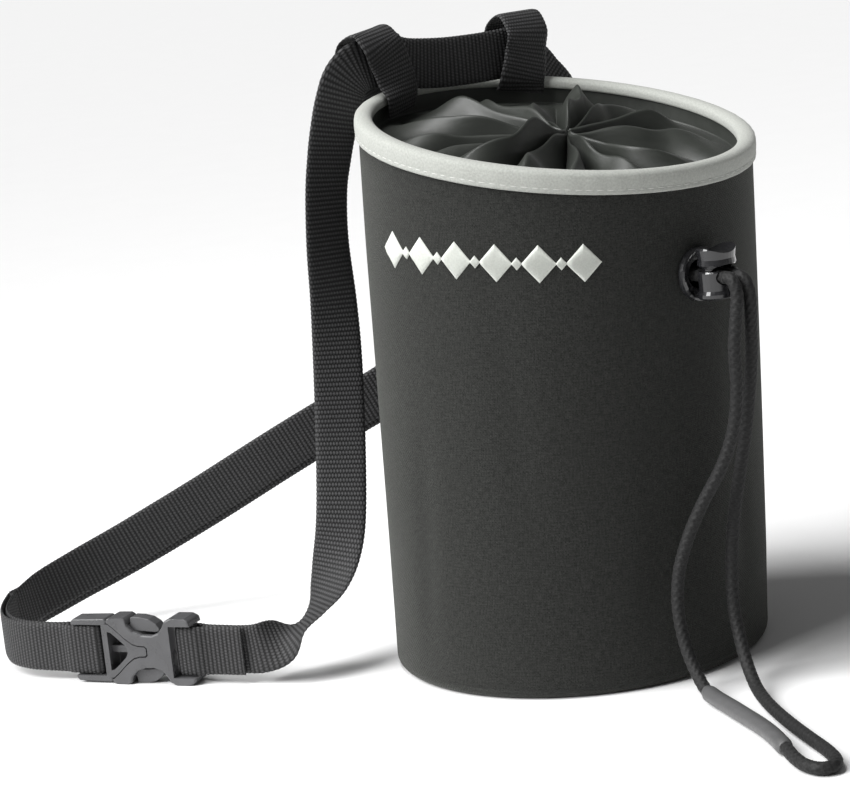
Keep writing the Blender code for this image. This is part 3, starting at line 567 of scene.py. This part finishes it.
def make_drawcord():
    route = FRONT_STRAND + SPLICE_ROUTE[1:] + BACK_STRAND[1:]
    line = np.array(catmull(route, 10)) * MM
    cord, path = braided_tube("drawcord", line, CORD_RADIUS, BRAID)
    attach(cord, "bag")
    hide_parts("drawcord_front_strand", "drawcord_back_strand")

    tube, along = evenly(np.array(catmull(SPLICE_ROUTE, 10)) * MM, 0.5 * MM)
    neck = 2.0 * MM
    tight = CORD_RADIUS + 0.12 * MM
    body = smooth_step(0, neck, along) * smooth_step(0, neck, along[-1] - along)
    turn = full_turn(32)
    waist = 0.06 * MM * np.sin(along[:, None] / (4.6 * MM) + 2 * np.sin(turn))
    radii = tight + (SPLICE_RADIUS - tight + waist) * body[:, None]
    rings, _ = tube_rings(tube, radii, len(turn))
    uv = paired(along[:, None], turn * SPLICE_RADIUS)
    splice = lofted("splice_tube", rings, uv, SHRINK, wrap=True, caps=True)
    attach(splice, "bag")
    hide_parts("splice_sleeve")


def eyelet_matrix():
    """Local X is along the two strands' spacing, local Y up, local Z out of the wall."""
    wall = Vector(wall_point(EYELET_ANGLE, EYELET_HEIGHT))
    out = Vector((math.cos(EYELET_ANGLE), math.sin(EYELET_ANGLE), 0))
    axes = Matrix(((-out.y, out.x, 0), UP, out)).transposed().to_4x4()
    return Matrix.Translation(wall) @ axes


def make_inner_cord():
    """From the lock up to the gather, once round below it, and back to the lock."""
    eyelet = eyelet_matrix()
    front, inside = 13.6 * MM, -9.0 * MM
    across = eyelet.to_3x3() @ Vector((CORD_SPACING, 0, 0))
    ends = {side: (eyelet @ Vector((side * CORD_SPACING, 0, front)),
                   eyelet @ Vector((side * CORD_SPACING, 0, inside))) for side in (-1, 1)}
    rise = [Vector(point) * MM for point in reversed(INNER_STRAND)]
    ring_radius = GATHER_RADIUS + 2.4 * MM
    level = Vector(GATHER_CENTRE) - Vector((0, 0, 5.2 * MM))
    turn = [level + ring_radius * Vector((math.cos(math.radians(a)),
                                          math.sin(math.radians(a)), 0))
            for a in range(-95, -375, -28)]
    (near, inner), (far, outer) = ends[-1], ends[1]
    route = [near, near.lerp(inner, 0.5), inner, *(point - across for point in rise),
             *turn, *(point + across for point in reversed(rise)),
             outer, outer.lerp(far, 0.5), far]
    line = catmull([list(point) for point in route], 6)
    cord, _ = braided_tube("drawcord_inside", line, CORD_RADIUS, BRAID)
    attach(cord, "bag")
    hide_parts("drawcord_inner")


LOCK_STAND_OFF = 8.4 * MM       # the lock's axis to the wall


def make_spring():
    """The cord lock's wire coil, set in the lock's own frame."""
    lock = (eyelet_matrix() @ Matrix.Translation((0, 0, LOCK_STAND_OFF))
            @ Matrix.Rotation(math.radians(-90), 4, "X"))
    turns, radius, wire = 2.25, 3.0 * MM, 0.25 * MM
    low, high = -5.2 * MM, -3.5 * MM
    share = np.linspace(0, 1, 109)
    line = [lock @ Vector((radius * math.cos(TAU * turns * t),
                           radius * math.sin(TAU * turns * t), low + (high - low) * t))
            for t in share]
    rings, turn = tube_rings(line, np.full((len(share), 1), wire), 12)
    uv = paired(share[:, None], turn)
    spring = face_outwards(lofted("lock_spring", rings, uv, STEEL, wrap=True, caps=True))
    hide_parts("cordlock_spring")
    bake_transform(spring)


# ------------ shell and liner
# Each crease: direction, lean over the height and width in degrees, depth in mm, and the
# shares of the height where it starts and ends.
CREASES = [
    (218, 9, 4.5, 0.5, 0.0, 0.55), (252, -13, 6.0, 0.45, 0.25, 0.9),
    (292, 10, 5.0, 0.5, 0.0, 0.6), (324, -8, 5.0, 0.6, 0.1, 0.7),
    (30, 8, 6.0, 0.6, 0.0, 0.7), (85, -9, 6.0, 0.6, 0.1, 0.8),
    (160, 10, 6.0, 0.6, 0.0, 0.7)]


def bag_sag(angle, height):
    """How far the cloth wall stands out of its plain cone, in metres."""
    high = height / RIM_HEIGHT
    free = np.clip(high * 6, 0, 1) * np.clip((1 - high) * 5, 0, 1)
    slow = 0.45 * np.sin(2 * angle + 2.2 * high + 0.6) + 0.35 * np.sin(
        3 * angle - 3.1 * high + 2.0) + 0.2 * np.sin(5 * angle + 4 * high)
    creases = 0
    for at, lean, width, depth, low, top in CREASES:
        centre = np.radians(at + lean * (high - 0.4))
        away = (np.mod(angle - centre + math.pi, TAU) - math.pi) / math.radians(width)
        creases = creases - depth * np.exp(-away * away) \
            * smooth_step(low - 0.05, low + 0.2, high) \
            * (1 - smooth_step(top - 0.2, top + 0.05, high))
    return (0.55 * slow + creases) * free * MM


def make_shell():
    turn = full_turn(256)[None]
    heights = np.linspace(0, 1, 96)[:, None]
    top = rim_height(turn) - 1.6 * MM
    foot = 3.2 * MM                 # the radius of the rounded bottom edge
    rise = foot + heights * (top - foot)
    outer = wall_point(turn, rise, -bag_sag(turn, rise))
    curl = np.radians(np.linspace(-90, 0, 7))[:-1, None]
    corner = wall_point(turn, foot + foot * np.sin(curl) + 0.05 * MM,
                        foot * (1 - np.cos(curl)))
    inner = wall_point(turn, rise[::-1], SHELL_THICKNESS - 0.15 * MM
                       - bag_sag(turn, rise[::-1]))
    closing = wall_point(turn, 1.2 * MM, 2.6 * MM)
    rings = np.concatenate([corner, outer, inner, closing])
    along = np.concatenate([foot * (np.sin(curl) + 0 * turn), rise, rise[::-1],
                            0 * turn])
    around = (turn + 0 * along) * SHELL_RIM_RADIUS
    shell = lofted("shell", rings, np.stack([around, along], -1), MELANGE, wrap=True,
                   around=True)
    cut_hole(face_outwards(shell), 48)
    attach(shell, "bag")
    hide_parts("shell_wall")


def cut_hole(thing, segments):
    """Cuts the eyelet's hole for good."""
    bm = bmesh.new()
    bmesh.ops.create_cone(bm, segments=segments, radius1=EYELET_HOLE, radius2=EYELET_HOLE,
                          depth=16 * MM, cap_ends=True)
    mesh = bpy.data.meshes.new("hole")
    bm.to_mesh(mesh)
    bm.free()
    tool = linked("hole", mesh)
    tool.matrix_world = eyelet_matrix()
    modifier = thing.modifiers.new("hole", "BOOLEAN")
    modifier.object = tool
    modifier.solver = "EXACT"
    apply_modifiers(thing)
    bpy.data.objects.remove(tool, do_unlink=True)


def apply_modifiers(thing):
    bpy.context.view_layer.update()
    graph = bpy.context.evaluated_depsgraph_get()
    mesh = bpy.data.meshes.new_from_object(thing.evaluated_get(graph))
    thing.modifiers.clear()
    thing.data = mesh


# The base panel's section, bottom first: share of its radius, and height in mm.
BASE_PROFILE = [
    (0.01, 0.55), (0.2, 0.53), (0.45, 0.42), (0.7, 0.22), (0.88, 0.08), (0.95, 0.02),
    (0.985, 0.12), (1.0, 0.45), (0.99, 0.9), (0.96, 1.02), (0.8, 1.05), (0.5, 1.15),
    (0.2, 1.25), (0.01, 1.28)]
BASE_PANEL_RADIUS = 56.7 * MM


def make_base():
    turn = full_turn(128)
    rings = np.array([circle(share * BASE_PANEL_RADIUS, turn, level * MM)
                      for share, level in BASE_PROFILE])
    base = face_outwards(lofted("base_panel", rings, rings[..., :2], MELANGE, wrap=True,
                                caps=True))
    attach(base, "bag")
    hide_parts("shell_base")


def make_liner():
    turn = full_turn(144)[None]
    heights = np.linspace(0, 1, 24)[:, None]
    low = 3.4 * MM
    rise = low + heights * (rim_height(turn) - 2.2 * MM - low)
    puff = 0.35 * MM * np.sin(7 * turn + 40 * rise) * np.clip((1 - heights) * 8, 0, 1)
    inner = wall_point(turn, rise, LINER_INSET + LINER_THICKNESS + puff)
    outer = wall_point(turn, rise[::-1], LINER_INSET + puff[::-1])
    radius = BASE_RADIUS - LINER_INSET - LINER_THICKNESS
    shares = (0.02, 0.3, 0.6, 0.85, 0.97)
    bottom = [circle(s * radius, turn, (2.5 + 0.5 * s ** 6) * MM) for s in shares]
    under = [circle(s * radius, turn, 1.7 * MM) for s in reversed(shares)]
    rings = np.concatenate(bottom + [inner, outer] + under)
    u = (turn + 0 * rings[..., 0]) * SHELL_RIM_RADIUS
    liner = lofted("liner", rings, np.stack([u, rings[..., 2]], -1), FLEECE, wrap=True,
                   caps=True)
    cut_hole(face_outwards(liner), 32)
    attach(liner, "bag")
    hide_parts("liner_wall", "liner_base")


# ------------ rim
def make_binding():
    """Tape folded over the rim: a rounded crest, and an outer leg pulled in by stitches."""
    turn = full_turn(320)[None]
    outer, inner, leg = -BINDING_OUTSET, BINDING_INSET, 0.75 * MM
    half, middle = (inner - outer) / 2, (inner + outer) / 2
    seam = 5.6 * MM                 # the row of stitches' depth below the crest
    stitch, stitch_step = 2.3 * MM / SHELL_RIM_RADIUS, 3.1 * MM / SHELL_RIM_RADIUS
    section = [(outer + 0.3 * MM, BINDING_HEIGHT), (outer + 0.02 * MM, 6.6 * MM),
               (outer + 0.06 * MM, seam + 0.4 * MM), (outer + 0.16 * MM, seam),
               (outer + 0.02 * MM, seam - 0.6 * MM), (outer - 0.08 * MM, 3.6 * MM)]
    for degrees in range(0, 181, 15):
        a = math.radians(degrees)
        section.append((middle - half * math.cos(a), 1.9 * MM * (1 - math.sin(a))))
    section += [(inner, 2.8 * MM), (inner - 0.1 * MM, 3.4 * MM),
                (inner - 0.4 * MM, BINDING_INNER_LEG), (inner - leg, 3.3 * MM),
                (inner - leg, 2.2 * MM), (middle, 1.1 * MM), (outer + leg, 2.2 * MM),
                (outer + leg, 6.6 * MM)]
    section = np.array(section)
    insets, depths = section[:, :1], section[:, 1:]
    ripple = 0.05 * MM * np.sin(47 * turn + 3 * np.sin(5 * turn))
    rings = below_rim(turn, depths, insets + ripple * (insets < middle))
    steps = np.linalg.norm(np.diff(section, axis=0), axis=1)
    across = np.concatenate([[0], np.cumsum(steps)])[:, None]
    binding = lofted("binding", rings, paired(turn * SHELL_RIM_RADIUS, across), TAPE,
                     wrap=True, around=True)
    face_outwards(binding)
    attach(binding, "bag")
    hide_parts("rim_binding")
    make_stitches("binding_stitches", [
        (Vector(below_rim(a, seam, outer + 0.1 * MM)),
         Vector(below_rim(a + stitch, seam, outer + 0.1 * MM)))
        for a in np.arange(0, TAU, stitch_step)], PALE_THREAD, 0.16 * MM)


def make_stitches(name, runs, material, radius):
    """Rows of sewn stitches, each a short thread that dips into the cloth at its ends."""
    points, faces = [], []
    sides, steps = 6, 6
    for start, end in runs:
        along = end - start
        out = Vector((start.x, start.y, 0)).normalized()
        across = along.normalized().cross(out).normalized()
        out = across.cross(along).normalized()
        first = len(points)
        for step in range(steps + 1):
            t = step / steps
            swell = math.sin(math.pi * t) ** 0.45 if 0 < t < 1 else 0.12
            centre = start.lerp(end, t) + out * radius * (swell - 0.9)
            for k in range(sides):
                a = TAU * k / sides
                points.append(centre + radius * max(swell, 0.25)
                              * (math.cos(a) * across + math.sin(a) * out))
        for step in range(steps):
            for k in range(sides):
                a, b = first + step * sides + k, first + step * sides + (k + 1) % sides
                faces.append((a, b, b + sides, a + sides))
        faces.append([first + k for k in range(sides)][::-1])
        faces.append([first + steps * sides + k for k in range(sides)])
    stitches = add_mesh(name, [tuple(p) for p in points], faces, material)
    face_outwards(stitches)
    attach(stitches, "bag")


# ------------ gathered closure
# Each pleat: direction at the wall and at the gather (degrees), crest height in mm,
# lean to the side (share of its half width), and where along its way it is highest.
PLEATS = [
    (10, 28, 7.0, -0.50, 0.55), (33, 47, 8.0, -0.50, 0.60), (57, 66, 8.5, -0.40, 0.66),
    (80, 82, 10.5, -0.35, 0.74), (99, 101, 5.5, 0.30, 0.75), (118, 117, 7.5, 0.45, 0.66),
    (140, 137, 8.5, 0.50, 0.60), (164, 161, 7.5, 0.55, 0.55), (187, 184, 5.5, 0.55, 0.50),
    (205, 204, 4.5, 0.45, 0.50), (226, 230, 10.5, 0.55, 0.70), (247, 251, 6.5, -0.50, 0.74),
    (267, 268, 5.0, 0.25, 0.72), (298, 291, 8.0, -0.45, 0.62), (331, 321, 7.0, -0.45, 0.58)]
VALLEY_DEPTH = 9.0 * MM
SLEEVE_DROP = 9.0 * MM
SLEEVE_CLOTH = 0.30 * MM
SLEEVE_MOUTH = 1.3 * MM         # the radius where the pleats meet


def make_closure():
    """The nylon sleeve: down inside the rim, then in to the gather in deep pleats."""
    per_pleat = 36
    count = len(PLEATS)
    wall_way, gather_way, heights, leans, peaks = np.array(PLEATS, float).T
    wall_way, gather_way = np.radians(wall_way), np.radians(gather_way)

    def edges(ways):
        following = np.append(ways[1:], ways[0] + TAU)
        right = (ways + following) / 2
        left = np.append(right[-1] - TAU, right[:-1])
        return left, right
    wall_left, wall_right = edges(wall_way)
    gather_left, gather_right = edges(gather_way)

    q = np.tile(np.linspace(-1, 1, per_pleat, endpoint=False), count)[None]
    which = np.repeat(np.arange(count), per_pleat)

    def way(ways, left, right):
        down = ways[which] - left[which]
        upwards = right[which] - ways[which]
        return np.where(q[0] < 0, ways[which] + q[0] * down, ways[which] + q[0] * upwards)
    at_wall = way(wall_way, wall_left, wall_right)[None]
    at_gather = way(gather_way, gather_left, gather_right)[None]
    half_width = ((gather_right - gather_left) / 2)[which][None]
    height, lean, peak = (heights * MM)[which][None], leans[which][None], peaks[which][None]

    drop_rows, run_rows = 9, 58
    depths = np.linspace(2.2 * MM, SLEEVE_DROP, drop_rows)[:, None]
    drop = below_rim(at_wall, depths, SLEEVE_INSET + 0.1 * MM)

    s = np.linspace(0, 1, run_rows)[1:, None]
    turn_share = smooth_step(0.0, 0.5, s)
    direction = at_wall + (at_gather - at_wall) * turn_share
    wander = 0.05 * np.sin(TAU * (1.3 * s + which[None] * 0.37)) * smooth_step(
        0.1, 0.5, s) * (1 - smooth_step(0.75, 1.0, s))
    fold = 1 - 0.6 * np.abs(q) ** 1.1 - 0.4 * np.abs(q) ** 4
    tilt = lean * half_width * fold ** 2 * smooth_step(0.1, 0.6, s)
    direction = direction + wander * (1 - np.abs(q)) + tilt
    start = below_rim(at_wall, SLEEVE_DROP, SLEEVE_INSET + 0.1 * MM)
    centre = GATHER_CENTRE
    start_radius = np.hypot(start[..., 0] - centre[0], start[..., 1] - centre[1])
    radius = start_radius * (1 - s) + SLEEVE_MOUTH * s
    climb = smooth_step(0.0, 0.38, s) * (1 - 0.55 * smooth_step(peak, 1.02, s))
    swell = 1 + 0.12 * np.sin(TAU * (1.7 * s + which[None] * 0.61))
    level = start[..., 2] * (1 - s) + (centre[2] + 0.4 * MM) * s
    sag = -2.4 * MM * np.sin(math.pi * s)
    rise = 1.15 * height * fold * climb * swell - VALLEY_DEPTH * (1 - fold) * smooth_step(
        0.05, 0.55, s)
    x = centre[0] + radius * np.cos(direction)
    y = centre[1] + radius * np.sin(direction)
    blend = smooth_step(0.0, 0.10, s)
    straight = start[..., :2] * (1 - s)[..., None] + (centre[:2] + SLEEVE_MOUTH * np.stack(
        [np.cos(at_gather), np.sin(at_gather)], -1)) * s[..., None]
    x = straight[..., 0] * (1 - blend) + x * blend
    y = straight[..., 1] * (1 - blend) + y * blend
    run = np.stack([x, y, level + sag + rise], -1)
    top = np.concatenate([drop, run])

    around = np.broadcast_to(at_wall * SHELL_RIM_RADIUS, top.shape[:2])
    steps = np.linalg.norm(np.diff(top, axis=0), axis=2).mean(1)
    down = np.concatenate([[0], np.cumsum(steps)])[:, None] + 0 * around
    sleeve = lofted("closure", top, np.stack([around, down], -1), NYLON, wrap=True)
    face_outwards(sleeve)
    crumple(sleeve, 0.3 * MM)
    modifier = sleeve.modifiers.new("cloth", "SOLIDIFY")
    modifier.thickness = SLEEVE_CLOTH
    modifier.offset = -1
    apply_modifiers(sleeve)
    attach(sleeve, "bag")
    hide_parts("closure_sleeve")


def crumple(thing, height):
    """Small soft dents along the normals."""
    mesh = thing.data
    count = len(mesh.vertices)
    points, normals = np.zeros(count * 3), np.zeros(count * 3)
    mesh.vertices.foreach_get("co", points)
    mesh.vertices.foreach_get("normal", normals)
    points, normals = points.reshape(-1, 3), normals.reshape(-1, 3)
    waves = np.zeros(count)
    for scale in (260.0, 420.0, 640.0):
        for _ in range(3):
            way = rng.normal(size=3)
            way /= np.linalg.norm(way)
            waves += np.sin(points @ way * scale + rng.uniform(0, TAU)) * 120.0 / scale
    points += normals * (waves * height / 3)[:, None]
    mesh.vertices.foreach_set("co", points.ravel())
    mesh.update()


# ------------ webbing
def webbing_strip(name, stations, material, pitch, relief):
    """A woven strip with a rounded rib across it at every pitch."""
    samples, along = evenly(catmull(stations, 24), pitch / 6)
    centres, hints = samples[:, :3], samples[:, 3:]
    tangents = unit(np.gradient(centres, axis=0))
    widths = unit(hints - tangents * np.sum(hints * tangents, 1, keepdims=True))
    faces = np.cross(tangents, widths)

    v = np.linspace(-1, 1, 19)[None]
    thin = np.sqrt(np.clip(1 - np.abs(v) ** 9, 0.0, 1))
    rib = np.abs(np.cos(math.pi * along[:, None] / pitch)) ** 0.8
    depth = (WEBBING_THICKNESS / 2 - relief * (1 - rib)) * np.maximum(thin, 0.18)
    edge = WEBBING_WIDTH / 2 - 0.15 * MM * (1 - rib)
    spread = centres[:, None] + widths[:, None] * (v * edge)[..., None]
    front = spread + faces[:, None] * depth[..., None]
    back = (spread - faces[:, None] * depth[..., None])[:, ::-1]
    rings = np.concatenate([front, back], 1)
    across = np.concatenate([v * WEBBING_WIDTH / 2, (2 - v) * WEBBING_WIDTH / 2], 1)
    return face_outwards(lofted(name, rings, paired(along[:, None], across), material,
                                wrap=True, caps=True))


BUCKLE = Matrix.Translation(BUCKLE_CENTRE) @ Euler(
    (math.radians(90), 0, BUCKLE_YAW)).to_matrix().to_4x4()


def at_buckle(along, outwards):
    return (*(BUCKLE @ (Vector((along, 0, outwards)) * MM)), *UP)


def wrap(bar_centre, side):
    """Webbing round a bar: a half turn on the bar's side towards side, front to back."""
    return [at_buckle(bar_centre + side * BAR_PITCH * math.cos(math.radians(a)),
                      BAR_PITCH * math.sin(math.radians(a))) for a in range(90, -91, -30)]


# The belt from the buckle's socket, up through both loops and round behind the bag.
FRONT_RUN = [
    (-101.0, -8.3, 11.6, 0, 0.1, 1), (-94.5, -8.0, 13.2, 0, 0.62, 0.78),
    (-88.2, -6.6, 16.4, -0.08, 1, -0.02), (-82.6, -4.6, 21.2, -0.35, 0.93, -0.1),
    (-78.2, -2.0, 27.8, -0.75, 0.66, -0.05), (-74.6, 1.2, 36.5, -0.95, 0.3, 0),
    (-72.0, 5.0, 47.5, -1, 0.05, 0), (-69.8, 11.0, 68.0, -1, -0.05, 0),
    (-67.8, 16.0, 95.0, -0.97, -0.2, 0), (-67.0, 19.0, 114.0, -0.9, -0.4, 0),
    (-66.8, 20.4, 133.0, -0.82, -0.55, 0), (-65.4, 20.4, 149.0, -0.8, -0.57, 0.15),
    (-63.2, 19.8, 160.0, -0.79, -0.5, 0.33), (-60.9, 19.0, 169.0, -0.75, -0.42, 0.5),
    (-58.4, 19.0, 176.8, -0.68, -0.3, 0.67), (-56.0, 20.2, 182.6, -0.62, -0.25, 0.74)]
# Then over the rim's crest, along inside it, and out over it again.
OVER_RIM = [
    (-52.0, 22.4, 186.4, -0.5, -0.15, 0.85), (-46.6, 26.2, 187.4, -0.3, 0.0, 0.95),
    (-41.0, 30.4, 187.2, -0.1, 0.05, 0.99), (-35.2, 33.6, 185.4, *UP),
    (-25.3, 40.3, 184.0, *UP), (-15.6, 45.6, 183.6, *UP), (-8.0, 50.4, 183.6, *UP),
    (-2.5, 53.6, 183.9, *UP), (0.5, 56.0, 184.4, *UP), (3.2, 62.2, 183.8, *UP),
    (5.5, 67.5, 179.5, *UP), (9.5, 71.5, 172.8, *UP), (14.0, 75.0, 166.0, *UP),
    (18.5, 79.0, 157.0, *UP), (22.0, 83.0, 147.0, *UP), (22.5, 87.0, 136.0, *UP),
    (17.5, 90.5, 124.5, *UP), (4.0, 93.0, 111.0, *UP), (-13.0, 93.0, 98.5, *UP),
    (-34.0, 91.0, 83.5, *UP)]
# From here the belt and its free tail lie face to face; this is their middle.
BACK_RUN = [
    (-53.6, 88.8, 72.0), (-78.6, 87.0, 60.8), (-96.0, 86.2, 52.5), (-121.1, 85.5, 40.0),
    (-147.8, 83.2, 27.8), (-166.0, 78.6, 20.8), (-179.5, 70.2, 16.2),
    (-186.8, 58.6, 13.2)]
LEFT_BEND = [
    (-186.8, 58.6, 13.2), (-188.2, 46.5, 11.6), (-185.2, 35.2, 11.0),
    (-178.6, 26.8, 11.0), (-170.6, 22.0, 11.0)]


def in_metres(stations):
    return [(x * MM, y * MM, z * MM, *width) for x, y, z, *width in stations]


def upright(points):
    return in_metres([(*point, *UP) for point in points])


def layered(stations, offset, shift=0.0):
    """Stations moved offset along the strip's face and shift down its width."""
    moved = []
    centres = [Vector(s[:3]) for s in stations]
    for index, station in enumerate(stations):
        before = centres[max(index - 1, 0)]
        after = centres[min(index + 1, len(centres) - 1)]
        along = (after - before).normalized()
        hint = Vector(station[3:])
        width = (hint - hint.dot(along) * along).normalized()
        face = along.cross(width).normalized()
        moved.append((*(centres[index] + face * offset - width * shift), *station[3:]))
    return moved


def make_belt():
    socket_bar, ladder_bar = 17.4, -14.6
    approach = ((38.0, 0.9), (31.0, 0.9), (26.0, 1.2), (21.8, BAR_PITCH))
    sewn_end = [at_buckle(x, y) for x, y in approach]
    socket_out = [at_buckle(x, -y) for x, y in reversed(approach)]
    inner_back = layered(upright(BACK_RUN), -LAYER_PITCH)
    main = sewn_end + wrap(socket_bar, -1) + socket_out
    main += in_metres(FRONT_RUN + OVER_RIM) + inner_back
    belt = webbing_strip("belt", main, WEBBING, BELT_RIB, 0.2 * MM)
    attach(belt, "bag")
    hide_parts("belt_webbing")

    bend = upright(LEFT_BEND)
    inner = layered(bend, -LAYER_PITCH)
    outer = layered(bend, LAYER_PITCH)
    turn = inner + [at_buckle(-26.5, -1.3), at_buckle(-22.8, -BAR_PITCH)]
    turn += wrap(ladder_bar, 1)[::-1]
    turn += [at_buckle(-22.8, BAR_PITCH), at_buckle(-26.5, 1.3)] + outer[::-1]
    adjuster = webbing_strip("belt_adjuster", turn, WEBBING, BELT_RIB, 0.2 * MM)
    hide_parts("belt_adjuster_turn")
    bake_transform(adjuster)

    tail_end = layered(upright(BACK_RUN), LAYER_PITCH)[-1]
    tail = layered(upright(BACK_RUN), LAYER_PITCH, TAIL_SHIFT)[:-1] + [tail_end]
    free_tail = webbing_strip("belt_free_tail", tail, WEBBING, BELT_RIB, 0.2 * MM)
    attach(free_tail, "bag")
    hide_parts("belt_tail")


# Each loop: sewn on inside the rim, up before the belt, over it, and down the outside.
RIGHT_LOOP = [
    (-0.1, 52.7, 170.9, 0.99, 0.14, 0), (0.9, 51.4, 174.5, 0.93, 0.37, 0),
    (2.2, 51.9, 179.0, 0.88, 0.48, 0), (3.3, 53.2, 184.5, 0.834, 0.552, 0),
    (4.1, 53.8, 190.3, 0.834, 0.552, 0), (1.7, 57.8, 195.7, 0.834, 0.552, 0),
    (-2.0, 63.2, 192.8, 0.834, 0.552, 0), (-3.6, 65.2, 187.0, 0.834, 0.552, 0),
    (-5.0, 64.2, 181.5, 0.87, 0.5, 0), (-6.9, 61.8, 176.0, 0.95, 0.3, 0),
    (-7.0, 60.7, 171.0, 0.97, 0.23, 0), (-7.0, 60.5, 161.0, 0.97, 0.23, 0)]
LEFT_LOOP = [
    (-38.9, 27.8, 170.9, 0.52, 0.85, 0), (-38.1, 26.3, 176.0, 0.6, 0.8, 0.02),
    (-39.4, 26.6, 181.0, 0.74, 0.67, 0.06), (-41.0, 26.5, 187.0, 0.76, 0.64, 0.08),
    (-43.2, 25.2, 193.2, 0.74, 0.66, 0.12), (-46.5, 27.4, 197.2, 0.7, 0.68, 0.12),
    (-50.9, 30.6, 195.0, 0.7, 0.68, 0.12), (-52.9, 32.2, 189.0, 0.7, 0.68, 0.12),
    (-51.8, 33.0, 182.5, 0.65, 0.75, 0.06), (-48.8, 33.4, 178.0, 0.58, 0.8, 0),
    (-46.6, 32.5, 173.5, 0.52, 0.85, 0), (-46.3, 32.2, 161.0, 0.52, 0.85, 0)]


def make_belt_loop(name, node, route):
    loop = webbing_strip(name, in_metres(route), LOOP_WEBBING, LOOP_RIB, 0.14 * MM)
    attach(loop, "bag")
    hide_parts(node)


# ------------ mouldings
SHARP = math.radians(35)


def repaint(node, material, edge=0.0):
    """The CAD's own piece in a new material, its edges rounded by this many metres."""
    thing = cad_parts[node]
    thing.data.materials.clear()
    thing.data.materials.append(material)
    thing.data.shade_smooth()
    thing.data.set_sharp_from_angle(angle=SHARP)
    if edge:
        rounding = thing.modifiers.new("rounding", "BEVEL")
        rounding.width = edge
        rounding.segments = 3
        rounding.limit_method = "ANGLE"
        rounding.angle_limit = SHARP
        rounding.harden_normals = True


# ------------ emblem
def make_emblem():
    """A plain embroidered band: satin-stitched lozenges with small squares between."""
    low_way, high_way = math.radians(204), math.radians(279)
    lozenges, pieces = 6, []
    pitch = (high_way - low_way) / lozenges
    for index in range(lozenges):
        centre = low_way + pitch * (index + 0.5)
        pieces.append(satin_patch(centre, pitch * 0.40, 5.6 * MM))
        if index < lozenges - 1:
            pieces.append(satin_patch(centre + pitch / 2, pitch * 0.13, 1.9 * MM))
    emblem = joined("emblem_stitching", pieces)
    face_outwards(emblem)
    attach(emblem, "bag")


def emblem_level(angle):
    """The band's middle height; it runs with the rim's slope."""
    return 133.4 * MM + 0.45 * (rim_height(angle) - rim_height(math.radians(242)))


def satin_patch(centre, half_way, half_height):
    """A raised patch of parallel threads on the wall, highest along its middle."""
    thread = 0.32 * MM
    threads = max(6, round(2 * half_way * SHELL_RIM_RADIUS / thread))
    t = np.linspace(-1, 1, threads * 4 + 1)[:, None]
    v = np.linspace(-1, 1, 9)[None]
    reach = np.clip(1 - np.abs(t), 0.03, 1)
    angle = centre + half_way * t + 0 * v
    height = emblem_level(angle) + half_height * reach * v
    dome = np.sqrt(np.clip(1 - np.abs(v) ** 3, 0, 1)) * np.clip(reach * 3, 0, 1)
    ridge = 0.75 + 0.25 * np.cos(TAU * (t * threads / 2 + 0.9 * v))
    lift = (0.15 + 0.6 * dome * ridge) * MM
    outer = wall_point(angle, height, -lift - bag_sag(angle, height))
    inner = wall_point(angle, height, 0.35 * MM - bag_sag(angle, height))
    rings = np.concatenate([outer, inner[:, ::-1]], 1)
    uv = np.stack([angle * SHELL_RIM_RADIUS, height], -1)
    uv = np.concatenate([uv, uv[:, ::-1]], 1)
    return face_outwards(lofted("patch", rings, uv, EMBROIDERY, wrap=True, caps=True))


# ------------ build
MELANGE = melange_material()
FLEECE = fleece_material()
TAPE = tape_material()
NYLON = nylon_material()
# The last colour of each webbing is the painted highlight on its rib crests and floats.
WEBBING = webbing_material("belt_webbing_weave_painted_highlights", BELT_RIB, (0.075, 0.075, 0.077))
LOOP_WEBBING = webbing_material("loop_webbing_weave_painted_highlights", LOOP_RIB, (0.07, 0.07, 0.072))
BRAID = braid_material()
SHRINK = shrink_material()
GLOSS = moulded_material("lock_gloss", (0.014, 0.014, 0.0155), 0.2, 0.02, coat=0.6)
SATIN = moulded_material("buckle_satin", (0.075, 0.075, 0.078), 0.32)
HOOP = moulded_material("hoop_plastic_grain", (0.6, 0.6, 0.58), 0.5)
PALE_THREAD = thread_material("binding_thread", (0.45, 0.46, 0.43), (0.62, 0.63, 0.6))
EMBROIDERY = thread_material("emblem_thread", (0.52, 0.54, 0.5), (0.74, 0.76, 0.71))
STEEL = steel_material()

make_camera()
make_studio()
make_drawcord()
make_inner_cord()
make_spring()
make_shell()
make_base()
make_liner()
make_binding()
make_closure()
make_belt()
make_belt_loop("loop_right", "belt_loop_right", RIGHT_LOOP)
make_belt_loop("loop_left", "belt_loop_left", LEFT_LOOP)
make_emblem()
for node_name in ("eyelet_grommet", "eyelet_washer", "cordlock_barrel", "cordlock_plunger"):
    repaint(node_name, GLOSS, 0.3 * MM)
for node_name in ("buckle_socket", "buckle_plug", "latch_arm_upper", "latch_arm_lower"):
    repaint(node_name, SATIN, 0.25 * MM)
repaint("rim_hoop", HOOP)
